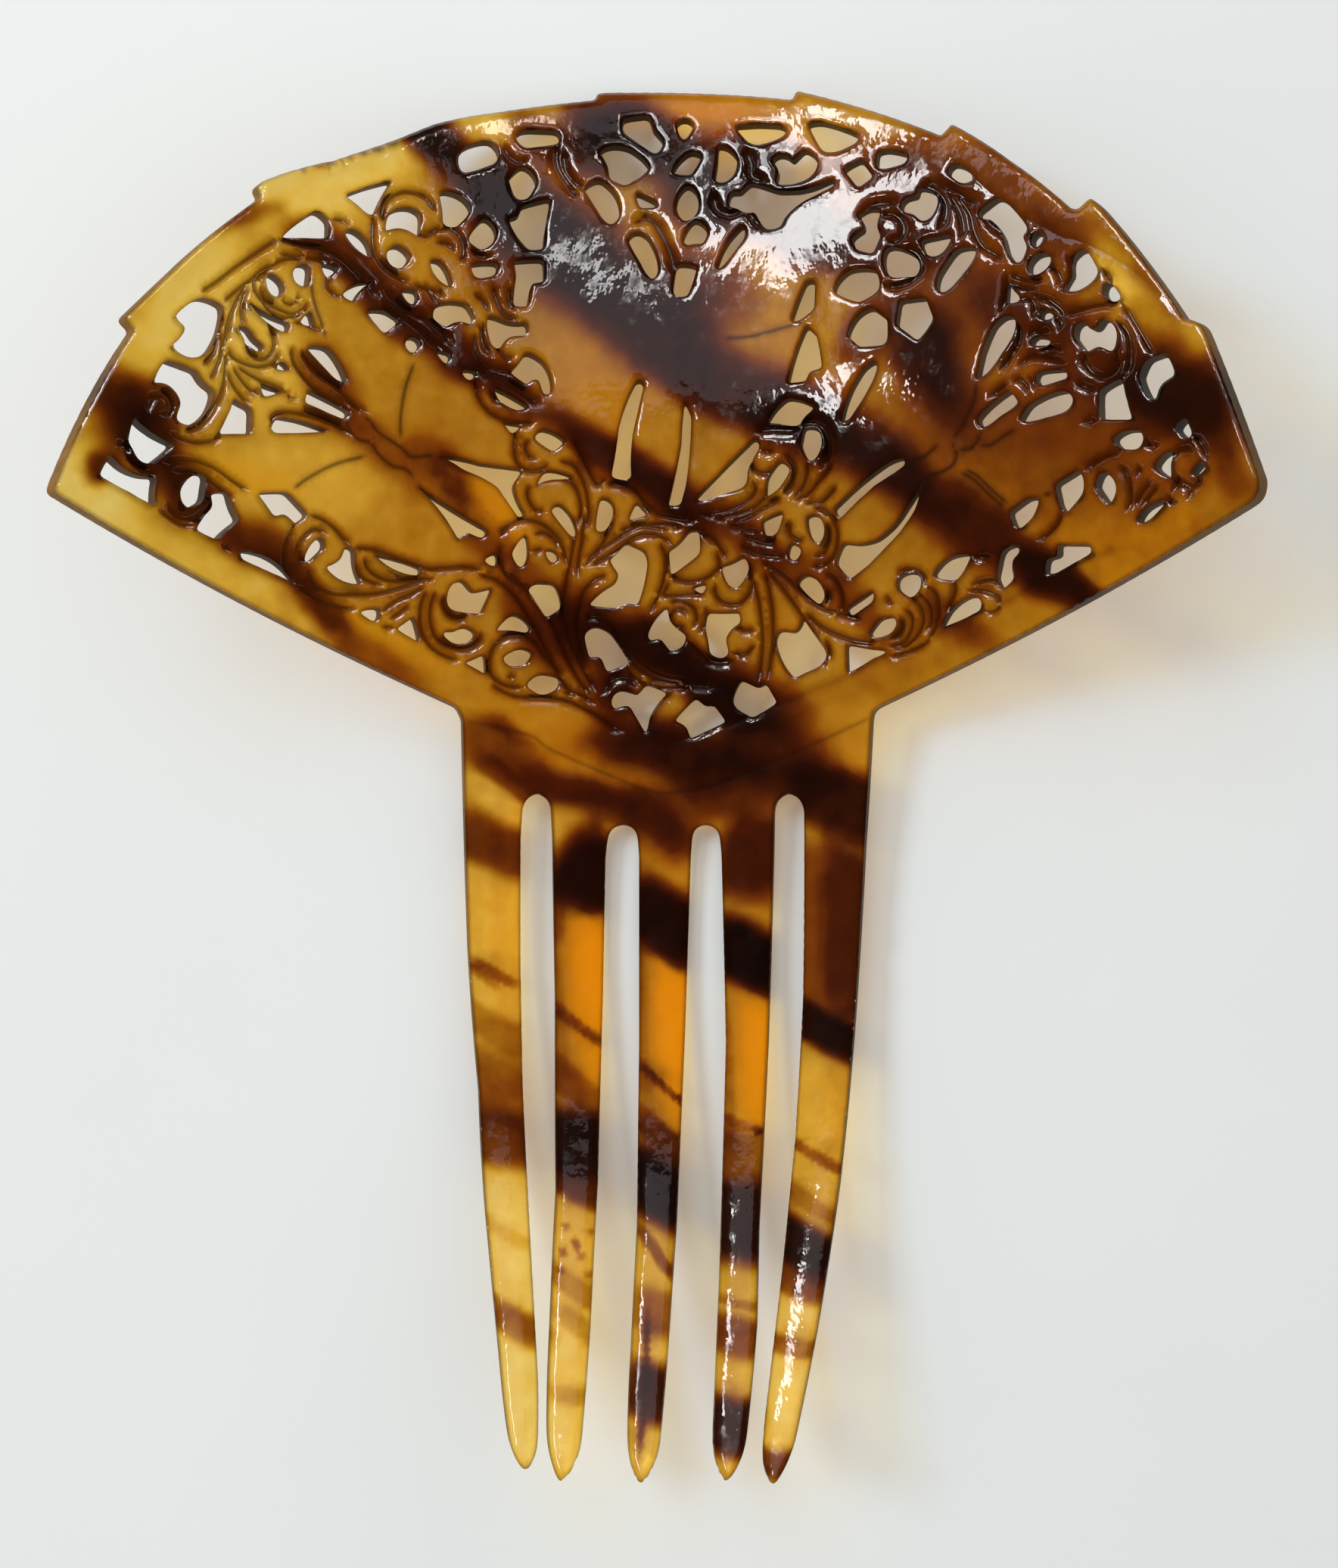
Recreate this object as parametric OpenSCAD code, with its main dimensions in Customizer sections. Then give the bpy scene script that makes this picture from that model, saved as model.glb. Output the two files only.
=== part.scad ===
// Mantilla comb in one bent sheet: a fan heading pierced with three butterflies among scrolls, a plain
// tooth plate and five long teeth. It lies on its back with the hollow side up and the fan toward +Y.
// The outlines are drawn on the flat sheet, across and along it in millimetres, and then bent.

/* [Piece] */
// The node that is drawn

/* [Bend] */
// Radius of the bowl across the comb, measured to its back
bowl_radius = 130; // [128:1:150]
// Radius of the curve along the teeth
teeth_radius = 190; // [180:1:240]
// Radius of the backward curve of the fan
fan_radius = 125; // [115:1:150]

/* [Sheet] */
// Thickness of the heading and the tooth plate
sheet = 3.2; // [2.8:0.1:3.6]
// Thickness at the tips of the teeth
tip_sheet = 2.4; // [2:0.1:2.8]

/* [Hidden] */

// Places along the sheet: the lowest point of the belly, the turn of the bend, where the teeth start to
// get thinner, and the two ends
belly_y = -20;
turn_y = 25;
taper_y = 0;
tip_y = -101.3;
top_y = 100.75;
middle_y = (top_y + tip_y) / 2;

// How far a cutting shape reaches past what it cuts, along the sheet, round the bowl and through the wall
spare_along = 6;
spare_turn = 3;
spare_through = 1;

// Steps of the bend: pieces of each curve along the sheet, and the longest straight step across it
teeth_steps = 8;
fan_steps = 7;
longest_step = 11;
bowl_facets = 180;

// Steps of a bowed side: a side with a bow over this size takes the deep number
deep_bow = 0.15;
deep_steps = 3;
shallow_steps = 2;

// Border corners of the heading and the tooth plate with the outer sides of the outer teeth, clockwise
// from the left corner. Columns: across, along, bow of the side that follows, outward positive.
outline = [
  [-94.3, 36.9, 0.9], [-82.5, 58.9, 0], [-84, 60.2, 0.1], [-83.2, 61.2, 0], [-74.2, 69.8, 0.2],
  [-61.9, 80, 0], [-62.6, 81.2, 0.1], [-61.6, 82.3, 0.3], [-50, 86.9, 0], [-40, 91.3, 0],
  [-34.5, 94, 0.2], [-25, 96.6, 0.2], [-9.5, 99.4, 0], [-9.3, 100.5, 0.1], [-5, 100.75, 0.1],
  [6, 100.6, 0.2], [20.5, 99, 0], [21, 100.5, 0.1], [30, 97.4, 0.2], [43.7, 91.3, 0],
  [45.1, 93.1, 0.2], [55, 86, 0.2], [64.3, 78.2, -0.1], [65.8, 77.7, 0], [67.5, 79.2, 0.1],
  [70, 76.9, 0.3], [83.2, 60.2, 0.1], [84.6, 59.9, 0.3], [86.5, 58, 0.3], [94.3, 38.2, 0.5],
  [92.9, 35.1, 0], [33.8, 9, -0.3], [32.7, 7.3, 0], [31.3, -11.3, 0], [30, -34, 0.1],
  [28, -60.7, 0.1], [25.3, -80.7, 0.1], [22.3, -96, 0.3], [19.2, -101.1, 0.4], [17.2, -97.4, 0.1],
  [17.7, -90, 0], [19.4, -74, 0], [21.1, -54, 0], [22, -34, 0], [22.2, -10, 0],
  [22.2, -6.4, -0.7], [19.9, -3.6, -0.7], [17.6, -6.4, 0],
  [17.5, -11.3, 0], [16.7, -40.7, 0], [15.7, -67.3, 0], [15.7, -80.7, 0.1], [14.4, -96.2, 0.4],
  [11.3, -101, 0.5], [8.9, -95.6, 0], [9.6, -74, 0], [10.3, -40.7, 0], [9.6, -12.6, 0],
  [9.4, -10.5, -0.7], [7.2, -8.3, -0.7], [5.1, -10.5, 0],
  [4.9, -13, 0], [4, -40.7, 0], [2.9, -67.3, 0], [1.9, -81, 0.1], [0.3, -96.8, 0.4],
  [-2.9, -101.3, 0.5], [-5, -96, 0.1], [-4.4, -84.7, 0], [-3.3, -67.3, 0], [-2.9, -40.7, 0],
  [-2.9, -12.8, 0], [-3.1, -10.5, -0.7], [-5.3, -8.3, -0.7], [-7.7, -10.5, 0],
  [-8, -13, 0], [-8.4, -34, 0], [-9.3, -60.7, 0], [-10.7, -80.7, 0.1], [-12.6, -96.4, 0.4],
  [-16.2, -100.9, 0.5], [-18.1, -94.6, 0.1], [-17.2, -81, 0], [-15.8, -62, 0], [-15.6, -34, 0],
  [-16, -10, 0], [-16.2, -6.4, -0.7], [-18.4, -3.6, -0.7], [-20.7, -6.4, 0],
  [-20.9, -10, 0], [-20.9, -27, 0], [-20.7, -47, 0], [-20, -67, 0], [-19.3, -87, 0.1],
  [-19.7, -95.8, 0.4], [-21.9, -99.2, 0.4], [-24.4, -95, 0.1], [-25.3, -84.7, 0], [-26.7, -64.7, 0.1],
  [-27.3, -47.3, 0.1], [-28.7, -26, 0], [-29.3, -8.7, 0], [-29.9, 7.3, 0], [-30.8, 9, 0],
  [-93.6, 36, 0.2],
];

// Gaps of the fret, each a ring of corners. Columns: across, along, bow of the side that follows, positive
// where it bulges out of the gap.
far_left = [
  [[-76.2, 61.4, 0.3], [-72, 64.4, 0.2], [-68.6, 63.6, 0.4], [-70.2, 58.2, 0.6], [-73.8, 56, 0.4],
    [-76.8, 57.4, -0.3], [-74.6, 60, 0]],
  [[-79.6, 52, 0.3], [-77.6, 55.3, 0], [-72.8, 54.2, -0.4], [-70.1, 51.8, 0.9], [-73.6, 46.9, 0.3],
    [-76, 47.4, 0.1], [-75.3, 49.4, -1.2]],
  [[-82.4, 47, -0.4], [-76.2, 44, 0.1], [-79.6, 41.2, 0.4], [-82, 42, -0.1], [-83.4, 43.8, 0.2]],
  [[-86, 41.7, -0.9], [-78.6, 39.4, -0.2], [-78.7, 35.5, 0], [-87.7, 39, 0]],
  [[-72.8, 40.2, 0.2], [-71, 40.2, 0], [-71.4, 36.8, 0.1], [-73.8, 35.6, 0.3], [-75, 37.8, 0.4]],
  [[-70.4, 37.5, 0.2], [-67.4, 38.2, -0.3], [-65.6, 34.5, -0.2], [-69, 31.5, 0], [-72.3, 32.8, 0.1],
    [-70, 35.8, -0.2]],
  [[-65.2, 30.2, 1.2], [-56.4, 26.2, 0], [-64.9, 29.1, 0.2]],
  [[-62.9, 38.2, 0.1], [-58.3, 38.6, 0], [-55, 35.7, 0], [-56.9, 34.3, -0.1], [-58.8, 35.6, -0.1],
    [-60.2, 35.1, 0]],
  [[-67.2, 51, -0.1], [-64.2, 49.7, 0], [-64.3, 46.3, 0], [-69.4, 45.9, 0], [-68.2, 48.2, -0.2]],
  [[-66.4, 61, 0.2], [-64.6, 60.8, -0.3], [-62.2, 58.6, 0.1], [-63.2, 57.6, 0.5]],
  [[-64.6, 64.6, -0.3], [-58.2, 62.2, 0.1], [-58.8, 60.7, 0.7]],
];
left_top = [
  [[-61.2, 69, 0.3], [-59, 67.4, 0.4], [-60.2, 65.6, 0.4], [-61.8, 67.4, 0.3]],
  [[-57.6, 69.4, 0.2], [-56.2, 70.8, 0.1], [-54.9, 70.6, 0.1], [-55.4, 67.6, 0.2], [-57.2, 68, 0.1]],
  [[-52.9, 71.2, 0.1], [-50.2, 70.7, 0], [-52.2, 69.1, 0.3]],
  [[-59, 74.4, 0.2], [-53.4, 78.9, 0.1], [-51.6, 77.6, 0], [-51.8, 75, 0.1]],
  [[-49.2, 75.8, 0.3], [-47.8, 76.6, 0.9], [-45.2, 72.5, 0.5]],
  [[-48.8, 81.6, 0.2], [-41.5, 84.5, -0.2], [-44.4, 79.1, 0.1], [-45.4, 79.1, 0]],
  [[-42.8, 76.8, 1.4], [-38.8, 80.6, 0.1], [-37.2, 79.8, 0.1], [-37.6, 76.2, -0.8]],
  [[-42.8, 73.2, 0.4], [-41, 74.8, 0.3], [-39, 73.2, 0], [-40.4, 71.4, 0.3], [-42.4, 72, 0.1]],
  [[-35.9, 73, 0.1], [-34.2, 72.8, 0.3], [-32.6, 69.1, 0.4], [-35.4, 71, 0.2]],
  [[-34.2, 83, 0.3], [-32.4, 83.4, 0.6], [-29.2, 81, 0.2], [-31.8, 78.1, 0], [-33.8, 78.5, -0.2]],
  [[-30.9, 89, 0.2], [-29.6, 90.8, 0.2], [-26, 91.9, 0.4], [-24.6, 89.6, 0.4], [-26.6, 87.8, 0.2],
    [-30.4, 86.6, 0.3]],
  [[-29.9, 76.2, 0.3], [-27.2, 79.8, 0.4], [-25.4, 77.6, 0.6], [-27.8, 74.9, 0.2]],
  [[-29.5, 72.6, 0.2], [-25.2, 73, 0.1], [-25.8, 71.2, 0.1], [-28.6, 70.6, 0.3]],
  [[-23.3, 85.8, 0.2], [-21, 88.2, 0.5], [-18.9, 85.6, 0.1], [-20.4, 83, 0], [-21.6, 82.7, 0.1],
    [-22.6, 83.6, 0]],
  [[-22, 92.6, 0.4], [-20.2, 94, 0.1], [-15.4, 94, 0.3], [-15.4, 92, 0.1], [-20.4, 91, 0.3]],
  [[-23.4, 79.8, 0], [-21.7, 80.4, 0], [-21.4, 81.8, 0.1], [-16.8, 83.2, 0], [-17.9, 77.4, 0],
    [-18, 75.5, 0.1], [-20.4, 75.2, 0.1], [-22.8, 78, 0.1]],
  [[-22.7, 73.4, 0.1], [-18, 73.8, 0], [-18, 70.5, 0], [-20, 70.2, -0.1], [-20.6, 66.8, 0.1],
    [-22.9, 66.8, 0.1], [-22.4, 71, 0]],
];
left_wings = [
  [[-50, 66.8, 0.6], [-44.8, 69.2, -0.6], [-48, 66, 0.2]],
  [[-40.6, 68.2, 0.2], [-38, 68.2, 0.2], [-38.6, 66.2, 0.2], [-40, 67, 0.1]],
  [[-46.2, 64.7, 0.2], [-43, 65, 0.1], [-40.8, 63.8, 0], [-43.3, 61.7, 0.1]],
  [[-40.2, 60.4, 0.3], [-38.8, 61.6, 0.2], [-37.6, 60.6, 0.1], [-38.8, 59.1, 0.3]],
  [[-35.2, 59.8, 0.1], [-32.8, 59.4, 0.1], [-33.6, 57.7, 0.2]],
  [[-35.7, 64.5, 0.7], [-33.6, 66.8, 0.2], [-30.2, 66.7, 0], [-29.1, 64.8, 0], [-29.7, 63.6, -0.7],
    [-33.6, 63.2, 0.1]],
  [[-31.2, 57, 0.2], [-28.8, 57, 0.1], [-29.8, 55.6, 0.3]],
  [[-56.5, 62.6, 0.1], [-54.9, 64.2, 0], [-54.3, 62.1, 0.1]],
  [[-60.5, 55.5, 0.2], [-59.4, 56.8, 0.1], [-58.2, 55.6, 0.1]],
  [[-55.7, 58.9, 0.3], [-52.2, 59, 0.4], [-49.2, 54.2, 0], [-50.8, 54.6, 0.1]],
  [[-55.9, 51.2, 0.1], [-55.4, 53, 0.1], [-48.9, 50.4, 0.2], [-49.8, 49.2, 0]],
  [[-61.2, 47.2, 0.3], [-59.8, 48.9, 0.3], [-52.2, 47.4, 0.1], [-60.4, 46.7, 0.1]],
  [[-62.9, 53.4, -0.1], [-59.4, 52.6, 0.1], [-62.4, 51.5, 0.1]],
  [[-34.8, 44.7, 0.2], [-28, 43.8, 0], [-21.4, 43.2, 0], [-23, 41, -0.3], [-21, 36.9, 0.1],
    [-22, 36.3, 0], [-25.4, 40.6, -0.2], [-31, 43, -0.2]],
  [[-38, 40.4, -0.2], [-26.8, 34.4, 0.2], [-27.8, 33.3, 0], [-30.2, 34.1, 0.1], [-31.4, 33, -0.4]],
];
left_foot = [
  [[-55.3, 29.6, 0.5], [-52.9, 32.7, 0.3], [-52.3, 31.2, 0], [-54.4, 29.2, 0.3]],
  [[-51.9, 28.6, -0.2], [-49.6, 29.8, 0], [-49.1, 31.4, 0.1], [-47.6, 31.2, -0.4], [-46.2, 26.4, 0.8]],
  [[-44.4, 30.5, 0.2], [-37, 28.8, 0.1], [-37.4, 27.8, 0.7]],
  [[-46.3, 22.4, 0.2], [-43.2, 23, 0.2], [-43.6, 21.1, 0.2]],
  [[-40.5, 20.2, 0], [-38, 21.9, 0.1], [-36.9, 18.4, 0.1]],
  [[-33.4, 19.6, 0.3], [-31.6, 19.9, 0.1], [-30, 20.6, 0.2], [-28.2, 19.6, 0.4], [-31, 18.2, 0.3]],
  [[-32.9, 24.6, 0.8], [-30.6, 27.3, 0], [-29, 25.6, -0.1], [-25.9, 26.3, 0], [-27.6, 22.6, 0.1],
    [-31.4, 22.9, 0.5]],
  [[-29.8, 15.5, -0.1], [-26.8, 16.8, 0], [-26.5, 13.8, 0]],
  [[-27.3, 30.2, 0.1], [-25.4, 31.3, 0.2], [-25.4, 29.4, 0.3]],
  [[-25.1, 20.2, 0.2], [-22.6, 22.5, 0.4], [-19.8, 20.6, 0.1], [-20.4, 19.9, -0.2]],
  [[-24, 16.3, 0.1], [-21.6, 17.6, 0.2], [-19.4, 17, 0.1], [-20.6, 15.3, 0.1], [-23, 15.1, 0.2]],
  [[-20.3, 12.3, 0.3], [-18, 13.9, 0.1], [-15.2, 13.4, 0.2], [-15.6, 11.8, 0.1], [-17.8, 10.9, 0.2]],
];
middle_top = [
  [[-5.2, 96.3, 0.1], [-1.5, 96.9, 0.1], [-0.8, 94.6, 0.1], [0.8, 92.6, 0.3], [-0.4, 90.5, 0.1],
    [-3, 92.2, 0], [-5.4, 94, 0.1]],
  [[-9, 90.7, 0.3], [-7, 91.8, 0.2], [-4.4, 91.4, 0.3], [-1.3, 88.4, 0.2], [-3.6, 86.3, 0],
    [-5, 85.4, 0.1], [-7.6, 86.6, -0.1], [-7.9, 88.8, 0]],
  [[-11.6, 84.8, 0.3], [-9, 86.4, 0.9], [-6, 81, 0.3], [-7.4, 79.4, 0.3], [-9.4, 81.4, 0]],
  [[-3.4, 84.4, 0.1], [-0.1, 82.8, 0.2], [-0.6, 82, 0], [-2.8, 82, 0.2]],
  [[-4.7, 77, 0.3], [-3.2, 78.4, 0.4], [-1, 76.4, 0.3], [0, 72.4, 0.2], [-0.9, 71, 0.2],
    [-2.6, 73.4, 0.1]],
  [[2.8, 95.4, 0.3], [4.2, 96.3, 0.2], [5.4, 95.2, 0.1], [5, 94, 0], [4.2, 92.7, 0.2], [3.1, 94, 0]],
  [[2.2, 87.4, 0.4], [5, 90.9, 0.2], [6.8, 90.2, 0.1], [5.2, 87.2, 0.1]],
  [[9.3, 91.9, 0.3], [11.6, 90.6, 0.3], [12.2, 88.4, 0.4], [10.6, 86, 0.2], [8.8, 86.2, 0],
    [9.2, 89.2, 0]],
  [[2.9, 82.6, 0.4], [4.6, 85.6, 0.5], [6.3, 83, 0.4], [5.4, 80.3, 0.2], [3.9, 80, 0.3]],
  [[3.9, 77, 0.3], [5.8, 80.2, 0.3], [7.8, 78.4, 0.2], [7, 76.4, -0.2], [4.6, 76.2, 0.1]],
  [[2.4, 69.4, 0.1], [3, 73.4, 0.2], [6.2, 73, 0.1], [4.7, 68.6, 0.1], [2.8, 68.5, 0.1]],
  [[9.3, 72.6, 0.7], [13.4, 79.3, 0.2], [13.6, 77.2, 0.1], [10.4, 73.2, 0.1]],
];
right_top = [
  [[11.8, 95, 0.2], [18.4, 94.9, 0.2], [19.9, 93.8, 0.2], [18.2, 92.4, 0.1], [15.4, 91.7, 0.3],
    [13.2, 93, 0.1]],
  [[23, 94.9, 0.1], [25.2, 95, 0.2], [31, 92.4, 0.2], [30.4, 91.2, 0.1], [27.8, 90.1, 0.2],
    [25.4, 90.3, 0.1]],
  [[17.7, 89.2, 0.3], [19.2, 90.1, 0.2], [20.9, 88.9, 0], [22.6, 90.7, 0.5], [24.9, 88, 0.4],
    [22.4, 85.6, 0.1], [19.2, 85.2, 0.1], [18.4, 85.6, 0], [18.8, 87.6, 0]],
  [[11, 82.2, 0.1], [11.4, 84.4, 0.1], [12.8, 84.2, 0], [14.4, 85.8, 0.1], [18.4, 84.4, -0.1],
    [22.4, 84.3, -0.2], [27, 85.8, 0.2], [27.6, 84.8, 0], [22.6, 82.4, -0.1], [19.8, 80, 0],
    [19.4, 78.9, 0.2], [16.9, 78.5, 0.1], [15.2, 81.2, 0.2], [12.4, 81.9, 0.1]],
  [[28.8, 87.2, 0.1], [31.4, 88.6, 0], [33.5, 85.8, 0.1], [31.2, 84.2, 0]],
  [[34, 89.6, 0.1], [35.6, 89.8, 0.1], [38.8, 88.7, 0.2], [38.3, 87.4, 0.1], [35.2, 86.8, 0.2],
    [33.9, 87.4, 0]],
  [[45, 85.5, 0.2], [45.9, 86.7, 0.2], [48.4, 85.3, 0.2], [49.1, 83.8, 0.1], [47.6, 83.5, 0.1],
    [46.2, 84.3, 0]],
  [[38, 80.9, 0.2], [38.8, 82.1, 0], [40.5, 82.3, 0], [40.5, 83.5, 0.1], [42.4, 83, 0.2],
    [43.7, 81.6, 0.2], [43.4, 79.5, 0.2], [42.2, 78.4, 0.1], [41.2, 78.4, 0], [40.2, 79.5, 0],
    [38.6, 79.9, 0.1]],
  [[31.2, 79.9, 0.1], [33, 80.9, 0.1], [34.9, 80.5, 0], [34.4, 78.2, -0.1], [35.1, 76.6, 0],
    [34, 74.1, 0.1], [31.4, 74.7, 0.1], [30.4, 76.5, 0.1], [32.5, 77.8, 0.1], [32.2, 79.2, 0]],
  [[27.9, 68.7, 0.2], [28.6, 70.4, 0.2], [30.6, 71.8, 0.2], [34.2, 71.6, 0.1], [35, 70.2, 0.1],
    [35, 68.6, 0.1], [33.4, 67.5, 0], [31.9, 66.9, 0.1], [28.7, 68.1, 0]],
  [[35.9, 74.6, 0.2], [37.6, 74.7, 0.1], [40, 73.6, 0.3], [41.4, 71.6, 0.1], [40.6, 70.3, 0.1],
    [37, 70.3, 0.3], [35.7, 72.2, 0.2]],
  [[41.3, 75.4, 0.1], [43, 75.7, 0.1], [46.1, 76, 0.2], [45.6, 74.3, 0.3], [43.8, 72.9, 0.3],
    [41.9, 73.9, 0]],
  [[44.1, 69, 0.2], [45, 71.1, 0.1], [47, 73.7, 0.2], [49.9, 73.7, 0.1], [50.2, 72.8, 0.2],
    [48.2, 70, 0.1], [45.6, 67.6, 0.1], [44.5, 67.7, 0.2]],
  [[50.2, 79, 0], [53, 80.9, 0], [54.2, 80.3, 0.1], [57.8, 76.3, 0], [58.2, 75.5, 0], [57.3, 74.6, 0.1],
    [58.2, 72.9, 0.1], [57.3, 70.9, 0.1], [56.2, 71.1, 0], [55, 72.6, 0], [54.3, 75, -0.1],
    [52.4, 77.6, -0.1], [50.4, 78, 0]],
  [[58.7, 74.2, 0], [59.2, 75, 0.1], [60.6, 74.6, 0.1], [60.6, 73.8, 0.1], [59.9, 72.8, 0.1],
    [58.9, 73.2, 0]],
  [[58.5, 70.6, 0.1], [59.6, 71.8, 0.1], [61.6, 71.8, 0.1], [62.1, 70.6, 0.3], [60.4, 69, 0.3],
    [58.6, 69.3, 0.1]],
  [[65.2, 70.7, 0.1], [66.6, 71.8, 0.2], [68, 71, 0], [69.6, 68.5, 0.3], [68.2, 66.7, 0.2],
    [65.6, 65.9, 0], [63.9, 66.3, 0.1], [65.3, 68.4, 0.2]],
  [[70.3, 65.2, 0.1], [70.6, 66.6, 0.1], [71.9, 66.2, 0.1], [73.4, 64.2, 0.1], [72.4, 63.8, 0.1],
    [70.8, 64.5, 0]],
];
middle_wings = [
  [[21.2, 64.8, 0.1], [23.4, 70.4, 0.2], [24.9, 70.2, 0], [24.8, 66.2, 0.1], [21.9, 64.4, 0]],
  [[20.7, 55.6, 0.3], [23.6, 63.9, 0], [25.2, 62.4, 0.1], [26.1, 57.6, 0], [24.2, 57.2, -0.1],
    [23.6, 55.8, 0]],
  [[-7.4, 42.4, -0.1], [-6.2, 49.4, 0.3], [-3.4, 56.2, 0.2], [-2.2, 55.8, 0], [-4, 48.6, -0.2],
    [-4.2, 42.4, 0.2], [-5.4, 41.9, 0.1]],
  [[1.6, 38.3, -0.1], [3.7, 47.4, 0.1], [4.2, 53.2, 0.1], [5.3, 51, 0.2], [4.4, 41, 0], [3.6, 38.4, 0.1]],
  [[-27, 65.2, 0.1], [-24, 64.4, -0.2], [-20.8, 64.4, 0.1], [-20.9, 62.4, -0.1], [-23.6, 62.2, -0.2],
    [-25, 60.5, 0.1], [-26.4, 60.8, 0.3]],
  [[-23.4, 57.1, -0.1], [-21, 60, 0.2], [-18.2, 58.6, 0.5], [-17, 54.2, 0.1], [-18.2, 54, 0],
    [-19, 56.2, -0.3], [-20.8, 55.3, 0.1]],
  [[-26, 54.8, 0.1], [-20.6, 52.2, 0.1], [-22.4, 51.6, 0.1], [-25, 52.8, 0.2]],
  [[-24.6, 50, -0.1], [-21.6, 49.6, 0.1], [-23.2, 48.2, 0.1]],
  [[-19.6, 47.6, 0.3], [-18.4, 49, 0.3], [-14.8, 47.4, 0.1], [-16.6, 45.8, 0.1]],
  [[-19.2, 41, 0.1], [-17.8, 43.1, 0.3], [-13.4, 42.2, 0], [-16.4, 41.9, -0.2]],
  [[-16.9, 37.4, 0.2], [-15.6, 38.4, 0.6], [-12.8, 34, 0.2], [-13.8, 33.9, 0.1]],
  [[-9.8, 34.6, 0.2], [-9, 39.4, 0.3], [-7, 38.2, 0.4], [-8.4, 34.6, 0.1]],
  [[-4.6, 36.2, 0.1], [-3.4, 38.8, 0], [-1.6, 37, 0.1]],
  [[-23, 31.2, 0.2], [-20.8, 34, 0.2], [-20.5, 30.6, 0.2], [-21.6, 29.2, 0.2]],
  [[6, 39.2, 0.1], [15.4, 47.8, 0.1], [16.2, 46.6, 0], [14.4, 43.6, -0.1], [14.2, 41.8, 0.1],
    [13.4, 40.7, 0], [8, 39.1, 0.3]],
  [[17.2, 39.4, 0.1], [17.4, 42.2, 0.1], [19.4, 44.6, 0.1], [21, 43.2, 0.1], [19.2, 40.6, 0.1]],
  [[17.4, 50, 0.3], [20.6, 53.4, 0.3], [24.9, 52, 0.1], [23.4, 50.8, 0], [22.4, 49.4, 0.1],
    [19.4, 49.8, 0]],
  [[22.7, 46.6, 0], [23.2, 49.1, 0.2], [25.4, 48.8, 0.3], [26, 46.4, 0.3], [24.3, 44.2, 0.1],
    [23.4, 45.2, 0]],
];
middle_foot = [
  [[-17.7, 31.8, 0.3], [-15.7, 31.2, 0.4], [-16.6, 29.9, 0.3]],
  [[-20.3, 26.1, 0.1], [-19, 27.1, 0], [-16.3, 27, 0.3], [-15.1, 23.6, 0.1], [-17.4, 22.2, 0],
    [-19, 24.4, -0.1]],
  [[-7.6, 30.5, 0], [-5, 33, 0], [-2.2, 31.8, 0.2], [-1.7, 29.6, 0.2], [-3.2, 24, 0], [-4.6, 24.3, -0.1],
    [-6.2, 23.6, 0.1], [-10.8, 24, 0.3], [-6.6, 27.2, 0], [-6.1, 28.4, 0.1]],
  [[-11.4, 19.6, 0.3], [-9.6, 20.9, 0.1], [-7.4, 20, 0.1], [-4.3, 15.6, 0], [-7.9, 14.3, 0],
    [-8.8, 16.4, -0.2], [-10.6, 16.3, 0.1]],
  [[-7.2, 10, 0.4], [-5.6, 11.6, 0.1], [-3.2, 10.9, 0], [-1.8, 12.5, 0.1], [1.4, 11.2, -0.3],
    [-1.4, 7.4, 0.1], [-1.9, 5.3, 0], [-4.4, 9.4, -0.2], [-6.6, 8.8, 0.2]],
  [[-1.6, 19.8, 0.4], [1.4, 23.8, 0], [1.8, 21.8, -0.1], [4.4, 19.7, 0.1], [3.8, 18, 0], [2, 17.2, 0],
    [0.4, 19.2, -0.1], [-1.2, 18.8, 0.1]],
  [[1.7, 31.9, -0.3], [4.8, 34.6, 0], [6.4, 34.8, 0.1], [6.6, 31.4, 0.1], [2, 28.3, 0]],
  [[5.4, 26.5, 0.1], [7.6, 27.1, 0.1], [7, 25.6, 0.1]],
  [[9.9, 29.6, -0.2], [13.4, 31, 0.2], [14.3, 29.2, 0.3], [12.2, 26.3, 0.3], [10.6, 27.6, 0.1]],
  [[7.8, 23, -0.1], [12.6, 23, 0.1], [12.8, 21.4, -0.3], [10.5, 19.2, -0.1], [11, 17.2, 0.2],
    [9.8, 16.3, 0.2], [7.9, 17.2, -0.1], [7.3, 20.6, 0.1]],
  [[18.2, 18.6, 0.1], [18.8, 20.2, 0.1], [21.2, 19.9, -0.3], [22.5, 22, 0], [25.9, 17.2, 0.2],
    [25.4, 15.4, 0.1], [23.4, 14.4, 0], [21, 13.3, 0.5]],
  [[21.8, 27, 0.2], [23.4, 28.2, 0.5], [26, 25.6, 0.3], [25.2, 23.9, 0.2]],
  [[23.5, 36.4, 0.2], [25.2, 36.6, 0.4], [26.2, 34.2, 0.3], [25.2, 32.5, 0.2], [23.9, 34, 0.1]],
  [[16.5, 36, 0.1], [19.8, 37.2, 0.2], [18.6, 34, 0.1], [17, 33.8, 0.1]],
  [[20.4, 31, 0.1], [21, 32.8, 0.1], [22.6, 31.8, 0.2], [21.6, 30.2, 0.2]],
  [[11.4, 10, 0.2], [12.8, 13.1, 0], [15.4, 11.9, 0], [16.6, 12.6, 0], [18.3, 9.8, 0.1],
    [14.4, 7.6, 0], [12.2, 8.8, 0.1]],
  [[2.5, 7.2, 0.1], [5.8, 10.5, 0], [7.2, 9.3, 0], [8.6, 9.4, 0], [10.4, 7, 0], [4.9, 4.5, 0],
    [4.4, 6.2, -0.1]],
];
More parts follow.
